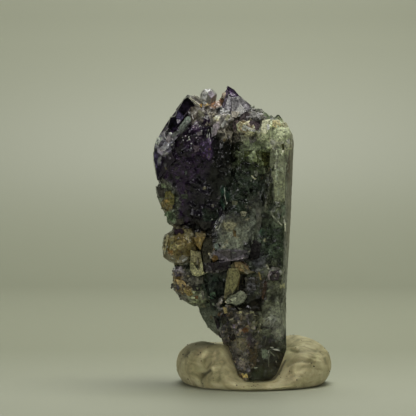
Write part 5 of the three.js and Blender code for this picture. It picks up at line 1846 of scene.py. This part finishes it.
def oval(column: np.ndarray, row: np.ndarray, spot: tuple[float, ...]) -> np.ndarray:
    """Measures how far places are seen from an oval's middle, 1 at its edge."""
    middle_column, middle_row, half_width, half_height = spot
    return np.hypot((column - middle_column) / half_width, (row - middle_row) / half_height)


@dataclass
class PuttyRing:
    """The flattened ring of putty, its rim pressed down at the front by the specimen's foot."""

    half_width: float = 11.2
    half_depth: float = 12.4
    height: float = 5.85
    front_height: float = 1.05
    swell_height: float = 0.75
    bed_height: float = 3.4
    centre_across: float = -0.25
    dip_bearing: float = math.radians(-84)
    swell_bearing: float = math.radians(38)
    swell_width: float = 0.6
    fold_bearing: float = math.radians(-133)
    fold_width: float = 0.11
    fold_depth: float = 0.05
    lump_height: float = 0.12
    grain_height: float = 0.035
    line_height: float = 0.035
    flat_depth: float = 0.1
    ridge_height: float = 0.045
    pit_depth: float = 0.16
    bearings: int = 420
    grit_colours: tuple[str, ...] = ("#1E1A12", "#2C2619", "#4A3A20", "#1E1A12", "#7E7252")
    section_steps: int = 9
    section: tuple[Corner, ...] = (
        (0.0, 0.0, 0.0), (0.5, 0.0, 0.0), (0.86, 0.0, 0.0), (0.94, 0.1, 0.0), (0.985, 0.26, 0.0),
        (1.0, 0.44, 0.0), (0.985, 0.62, 0.0), (0.94, 0.78, 0.0), (0.86, 0.91, 0.0), (0.75, 0.985, 0.0),
        (0.64, 1.0, 0.0), (0.53, 0.9, 0.06), (0.43, 0.66, 0.3), (0.33, 0.32, 0.66), (0.2, 0.08, 0.92),
        (0.0, 0.0, 1.0))

    def rounded_section(self) -> np.ndarray:
        """Draws a smooth curve through the section's points, with the underside left flat.

        Returns:
            The curve's points: outward share, share of the rim's height, share of the bed's height.
        """
        rows = np.array(self.section)
        padded = np.vstack([rows[:1], rows, rows[-1:]])
        curve = [rows[0]]
        for k in range(1, len(rows)):
            before, start, end, after = padded[k - 1:k + 3]
            for t in np.linspace(0, 1, self.section_steps + 1)[1:]:
                bent = 2 * before - 5 * start + 4 * end - after
                twisted = 3 * start - before - 3 * end + after
                point = 0.5 * (2 * start + (end - before) * t + bent * t ** 2 + twisted * t ** 3)
                curve.append(start + (end - start) * t if k <= 2 else np.maximum(point, 0))
        return np.array(curve)

    def reach(self, bearing: np.ndarray) -> np.ndarray:
        """Tells how far the edge reaches at each bearing, as a share."""
        return (1 + 0.035 * np.cos(2 * bearing + 0.4) + 0.022 * np.sin(3 * bearing + 1.1)
                + 0.012 * np.sin(7 * bearing))

    def rim(self, bearing: np.ndarray) -> np.ndarray:
        """Tells how high the rim stands at each bearing.

        Args:
            bearing: The bearings, in radians.

        Returns:
            The heights, in mm.
        """
        toward = np.clip((np.cos(bearing - self.dip_bearing) - 0.72) / 0.265, 0, 1)
        dip = toward * toward * (3 - 2 * toward)
        swell = self.swell_height * np.exp(-(((bearing - self.swell_bearing) / self.swell_width) ** 2))
        sag = 0.15 * np.sin(2 * bearing + 0.6) + 0.18 * np.sin(5 * bearing)
        return (self.height + swell + sag) * (1 - dip) + self.front_height * dip

    def knead(self, places: np.ndarray, normals: np.ndarray) -> tuple[np.ndarray, np.ndarray]:
        """Presses lumps, folds, finger marks and pits into the surface.

        Args:
            places: Vertices in mm.
            normals: Their normals.

        Returns:
            The new places in mm, and how much dirt and painted shade darken each.
        """
        column, row = pixels(places)
        front = np.clip((0.5 - normals[:, 1] * 2) / 1.0, 0, 1) * np.clip((3 - places[:, 1]) / 2, 0, 1)
        height = self.lump_height * soft_noise(places, 4.6, 101, 2)
        height += self.grain_height * soft_noise(places, 1.1, 111, 3)
        # Rolling the rope left fine lines along it.
        bearing = np.arctan2(places[:, 1], places[:, 0] - self.centre_across)
        out = np.hypot(places[:, 0], places[:, 1])
        ring = np.stack([bearing * 3.0, out * 2.4, places[:, 2] * 2.4], axis=1)
        height += self.line_height * soft_noise(ring, 1.0, 171, 3)
        # Pressing fingers leave flats with soft rims.
        flats = soft_noise(places, 5.5, 121, 1)
        height -= self.flat_depth * np.clip(flats - 0.25, 0, 0.4) / 0.4
        # Patches of dirt, at random.
        dirt_and_shade = 0.35 * np.clip(soft_noise(places, 2.2, 131), 0, 1)
        # A band along the top of the left lobe is darkened.
        dirt_and_shade = np.maximum(dirt_and_shade, 0.15 * np.clip(1.25 - oval(column, row, DARKER_TOP_BAND), 0, 1))
        for crease in CREASES:
            far, side = crease.distance(column, row)
            valley = np.exp(-(far / crease.width) ** 2) * front
            lip = np.exp(-((far - 2.2 * crease.width) / (1.6 * crease.width)) ** 2) * (side > 0) * front
            height += crease.lip * lip - crease.depth * valley
            # Each crease darkens the putty in its fold: painted shade.
            dirt_and_shade = np.maximum(dirt_and_shade, crease.dirt_and_shade * np.exp(-(far / (0.7 * crease.width)) ** 2) * front)
        for spot in FINGER_PRINTS:
            patch = np.clip(1.3 - oval(column, row, spot), 0, 1) * front
            aside = (column - spot[0] - RIDGE_MIDDLE[0]) * PIXEL * 0.55
            curve = np.hypot(aside, (row - spot[1] - RIDGE_MIDDLE[1]) * PIXEL)
            curve = curve + 0.25 * soft_noise(places, 2.5, 141, 2)
            height += self.ridge_height * np.sin(2 * math.pi * curve / FINGER_RIDGE) * patch
        pits = np.zeros(len(places))
        for spot in PITTED_SPOTS:
            pits = np.maximum(pits, np.clip(1.3 - oval(column, row, spot), 0, 1) * front)
        holes, _, chosen = crystal_cells(places, 0.5, 151)
        hole = np.clip(1 - holes / 0.45, 0, 1) * (chosen < 0.12 + 0.5 * pits)
        height -= self.pit_depth * hole * np.clip(pits + 0.25, 0, 1)
        # The pits are darkened: painted shade.
        dirt_and_shade = np.maximum(dirt_and_shade, 0.9 * (hole > 0.3) * np.clip(pits + 0.15, 0, 1))
        flat = np.clip(places[:, 2] / 0.5, 0, 1)
        moved = places + normals * (height * flat)[:, None]
        moved[:, 2] = np.maximum(moved[:, 2], 0)
        return moved, dirt_and_shade

    def build(self) -> bpy.types.Object:
        """Builds the ring.

        Returns:
            The object.
        """
        curve = self.rounded_section()
        bearing = 2 * math.pi * np.arange(self.bearings) / self.bearings
        bearing = np.where(bearing > math.pi, bearing - 2 * math.pi, bearing)
        fold = np.exp(-(((bearing - self.fold_bearing) / self.fold_width) ** 2))
        vertices = [(self.centre_across, 0.0, 0.0)]
        for share, rim_share, bed_share in curve[1:-1]:
            reach = share * self.reach(bearing) * (1 - self.fold_depth * fold * min(1.0, rim_share * 3))
            ring = np.stack([self.centre_across + reach * self.half_width * np.cos(bearing),
                             reach * self.half_depth * np.sin(bearing),
                             rim_share * self.rim(bearing) + bed_share * self.bed_height], axis=1)
            vertices.extend(map(tuple, ring))
        vertices.append((self.centre_across, 0.0, self.bed_height))
        last = len(vertices) - 1
        count = self.bearings
        faces = [(0, 1 + (k + 1) % count, 1 + k) for k in range(count)]
        rings = len(curve) - 2
        for ring in range(rings - 1):
            low = 1 + ring * count
            high = low + count
            for k in range(count):
                after = (k + 1) % count
                faces.append((low + k, low + after, high + after, high + k))
        top = 1 + (rings - 1) * count
        faces += [(top + k, top + (k + 1) % count, last) for k in range(count)]
        mesh = bpy.data.meshes.new("kneaded_putty")
        mesh.from_pydata(vertices, [], faces)
        mesh.update()
        places = places_of(mesh)
        moved, dirt_and_shade = self.knead(places, normals_of(mesh))
        set_places(mesh, moved)
        write(mesh, DIRT_AND_SHADE, dirt_and_shade)
        patches = np.clip(0.3 + soft_noise(places, 3.0, 191), 0, 1)
        grit = np.clip(0.15 + 1.6 * dirt_and_shade, 0, 1) * patches * (places[:, 2] > 0.4)
        write(mesh, SOWN_GRIT, grit)
        kinds = np.array([linear(c)[:3] for c in self.grit_colours])
        kind = (hashed(np.floor(places * 5).astype(np.int64), 201) * len(kinds)).astype(int)
        write_tint(mesh, kinds[kind])
        mesh.shade_smooth()
        mesh.materials.append(KneadedPutty().make())
        return place_in_scene("kneaded_putty", mesh, "putty")


@dataclass
class Studio:
    """The pale floor, the plain backdrop, soft lights and the level camera."""

    floor_colour: str = "#A2A594"
    painted_curve_shade: str = "#8C8F7B"
    wall_colour: str = "#AEB19C"
    floor_starts: float = -600.0
    floor_ends: float = 300.0
    sweep_radius: float = 100.0
    sweep_steps: int = 12
    wall_height: float = 500.0
    half_width: float = 700.0

    def painted(self) -> bpy.types.Material:
        """Makes the sweep's matt paint, with painted shade where the sheet curves up behind the object.

        Returns:
            The material.
        """
        material, wiring = new_material("painted_sweep")
        place = wiring.add("TexCoord").outputs["Object"]
        split = wiring.add("SeparateXYZ", inputs={"Vector": place}).outputs
        rise = wiring.ranged(split["Z"], 0.0, 90 * MM)
        back = wiring.ranged(split["Y"], -20 * MM, 60 * MM)
        # The floor goes darker towards the curve, a painted shade, and paler up the wall.
        floor = wiring.mix(back, linear(self.floor_colour), linear(self.painted_curve_shade))
        colour = wiring.mix(rise, floor, linear(self.wall_colour))
        wiring.close(wiring.add("BsdfPrincipled", inputs={"Roughness": 0.5, "Base Color": colour}))
        return material

    def sweep(self) -> bpy.types.Object:
        """Builds the floor and the backdrop as one curved sheet.

        Returns:
            The object.
        """
        profile = [(self.floor_starts, 0.0), (self.floor_ends, 0.0)]
        for k in range(1, self.sweep_steps + 1):
            turn = math.radians(90 / self.sweep_steps * k)
            profile.append((self.floor_ends + self.sweep_radius * math.sin(turn),
                            self.sweep_radius * (1 - math.cos(turn))))
        profile.append((self.floor_ends + self.sweep_radius, self.wall_height))
        bm = bmesh.new()
        sides = [[bm.verts.new((side * self.half_width * MM, y * MM, z * MM)) for y, z in profile]
                 for side in (-1, 1)]
        for k in range(len(profile) - 1):
            bm.faces.new((sides[0][k], sides[1][k], sides[1][k + 1], sides[0][k + 1]))
        mesh = mesh_of(bm, "sweep")
        mesh.shade_smooth()
        mesh.materials.append(self.painted())
        sheet = bpy.data.objects.new("sweep", mesh)
        bpy.context.scene.collection.objects.link(sheet)
        return sheet

    def soft_light(self, name: str, place: Corner, size: float, power: float, aim: Corner = (-4, 0, 24),
                   length: float | None = None, colour: str = "#FFFFFF",
                   spread: float | None = None) -> None:
        """Hangs a soft light, square or a strip.

        Args:
            name: Its name.
            place: Where it hangs, in mm.
            size: Its width, in mm.
            power: Its power in watts.
            aim: What it points at, in mm.
            length: A strip's upright length, in mm.
            colour: Its colour.
            spread: How wide its beam opens, in degrees, where it is a narrow one, which leaves no glint.
        """
        data = bpy.data.lights.new(name, "AREA")
        if length:
            data.shape = "RECTANGLE"
            data.size_y = length * MM
        data.size = size * MM
        data.energy = power
        data.color = linear(colour)[:3]
        if spread:
            data.spread = math.radians(spread)
        light = bpy.data.objects.new(name, data)
        light.visible_glossy = not spread
        light.location = Vector(place) * MM
        light.rotation_mode = "QUATERNION"
        light.rotation_quaternion = (Vector(aim) - Vector(place)).to_track_quat("-Z", "Y")
        bpy.context.scene.collection.objects.link(light)

    def build(self) -> None:
        """Builds the stage, the lights and the camera."""
        scene = bpy.context.scene
        self.sweep()
        self.soft_light("overhead", (70, 10, 290), 150, 0.46, colour="#FFFFF0")
        self.soft_light("front_fill", (-160, -330, 140), 120, 0.12)
        self.soft_light("left_glint", (-150, -170, 110), 13, 0.016)
        self.soft_light("upper_glint", (-60, -170, 230), 13, 0.011)
        self.soft_light("right_glint", (120, -180, 130), 13, 0.016)
        self.soft_light("low_glint", (30, -240, 60), 10, 0.008)
        self.soft_light("left_strip", (-130, -235, 5), 90, 0.0008, (-6, -6, 3), length=7, spread=3)
        self.soft_light("right_strip", (120, -240, 5), 90, 0.0006, (5, -6, 3), length=7, spread=3)
        self.soft_light("wall_wash", (0, 190, 420), 260, 1.5, (0, 400, 90))
        world = bpy.data.worlds.new("dim_room")
        scene.world = world
        world.use_nodes = True
        room = world.node_tree.nodes["Background"]
        room.inputs["Color"].default_value = linear("#8A8D78")
        room.inputs["Strength"].default_value = 0.12
        camera = bpy.data.objects.new("camera", bpy.data.cameras.new("camera"))
        camera.location = Vector((EYE_ACROSS, -EYE_DISTANCE, EYE_UP)) * MM
        camera.rotation_euler = (math.radians(90), 0, 0)
        camera.data.sensor_width = SENSOR
        camera.data.lens = EYE_DISTANCE / (PIXEL * VIEW_PIXELS) * SENSOR
        camera.data.clip_start = 0.01
        scene.collection.objects.link(camera)
        scene.camera = camera
        scene.view_settings.view_transform = "Standard"


def main() -> None:
    """Builds the cluster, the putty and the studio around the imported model."""
    logging.basicConfig(level=logging.INFO, format="%(name)s: %(message)s")
    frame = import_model()
    Studio().build()
    body = StoneBody().build(frame["nodes"]["fluorite_specimen"])
    Druse("druse_grains", SOWN_CLEAR, DRUSE_FLUORITE, per_square_mm=1.1, smallest=0.12, largest=0.32,
          wobble=0.16, seed=3).build(body)
    Druse("grit_grains", SOWN_GRIT, GRIT_MINERALS, per_square_mm=2.2, smallest=0.1, largest=0.34,
          wobble=0.9, seed=13).build(body)
    stone = [body] + [crystals.build() for crystals in small_crystals()]
    stone.append(Facets().build(surface_tree(stone), body.data.materials[0]))
    Slivers().build(surface_tree(stone))
    ring = PuttyRing().build()
    Druse("putty_grit", SOWN_GRIT, GROUND_IN_GRIT, per_square_mm=1.6, smallest=0.07, largest=0.17,
          wobble=1.5, seed=23, slot="putty").build(ring)
    bpy.context.view_layer.update()


if __name__ == "__main__":
    main()
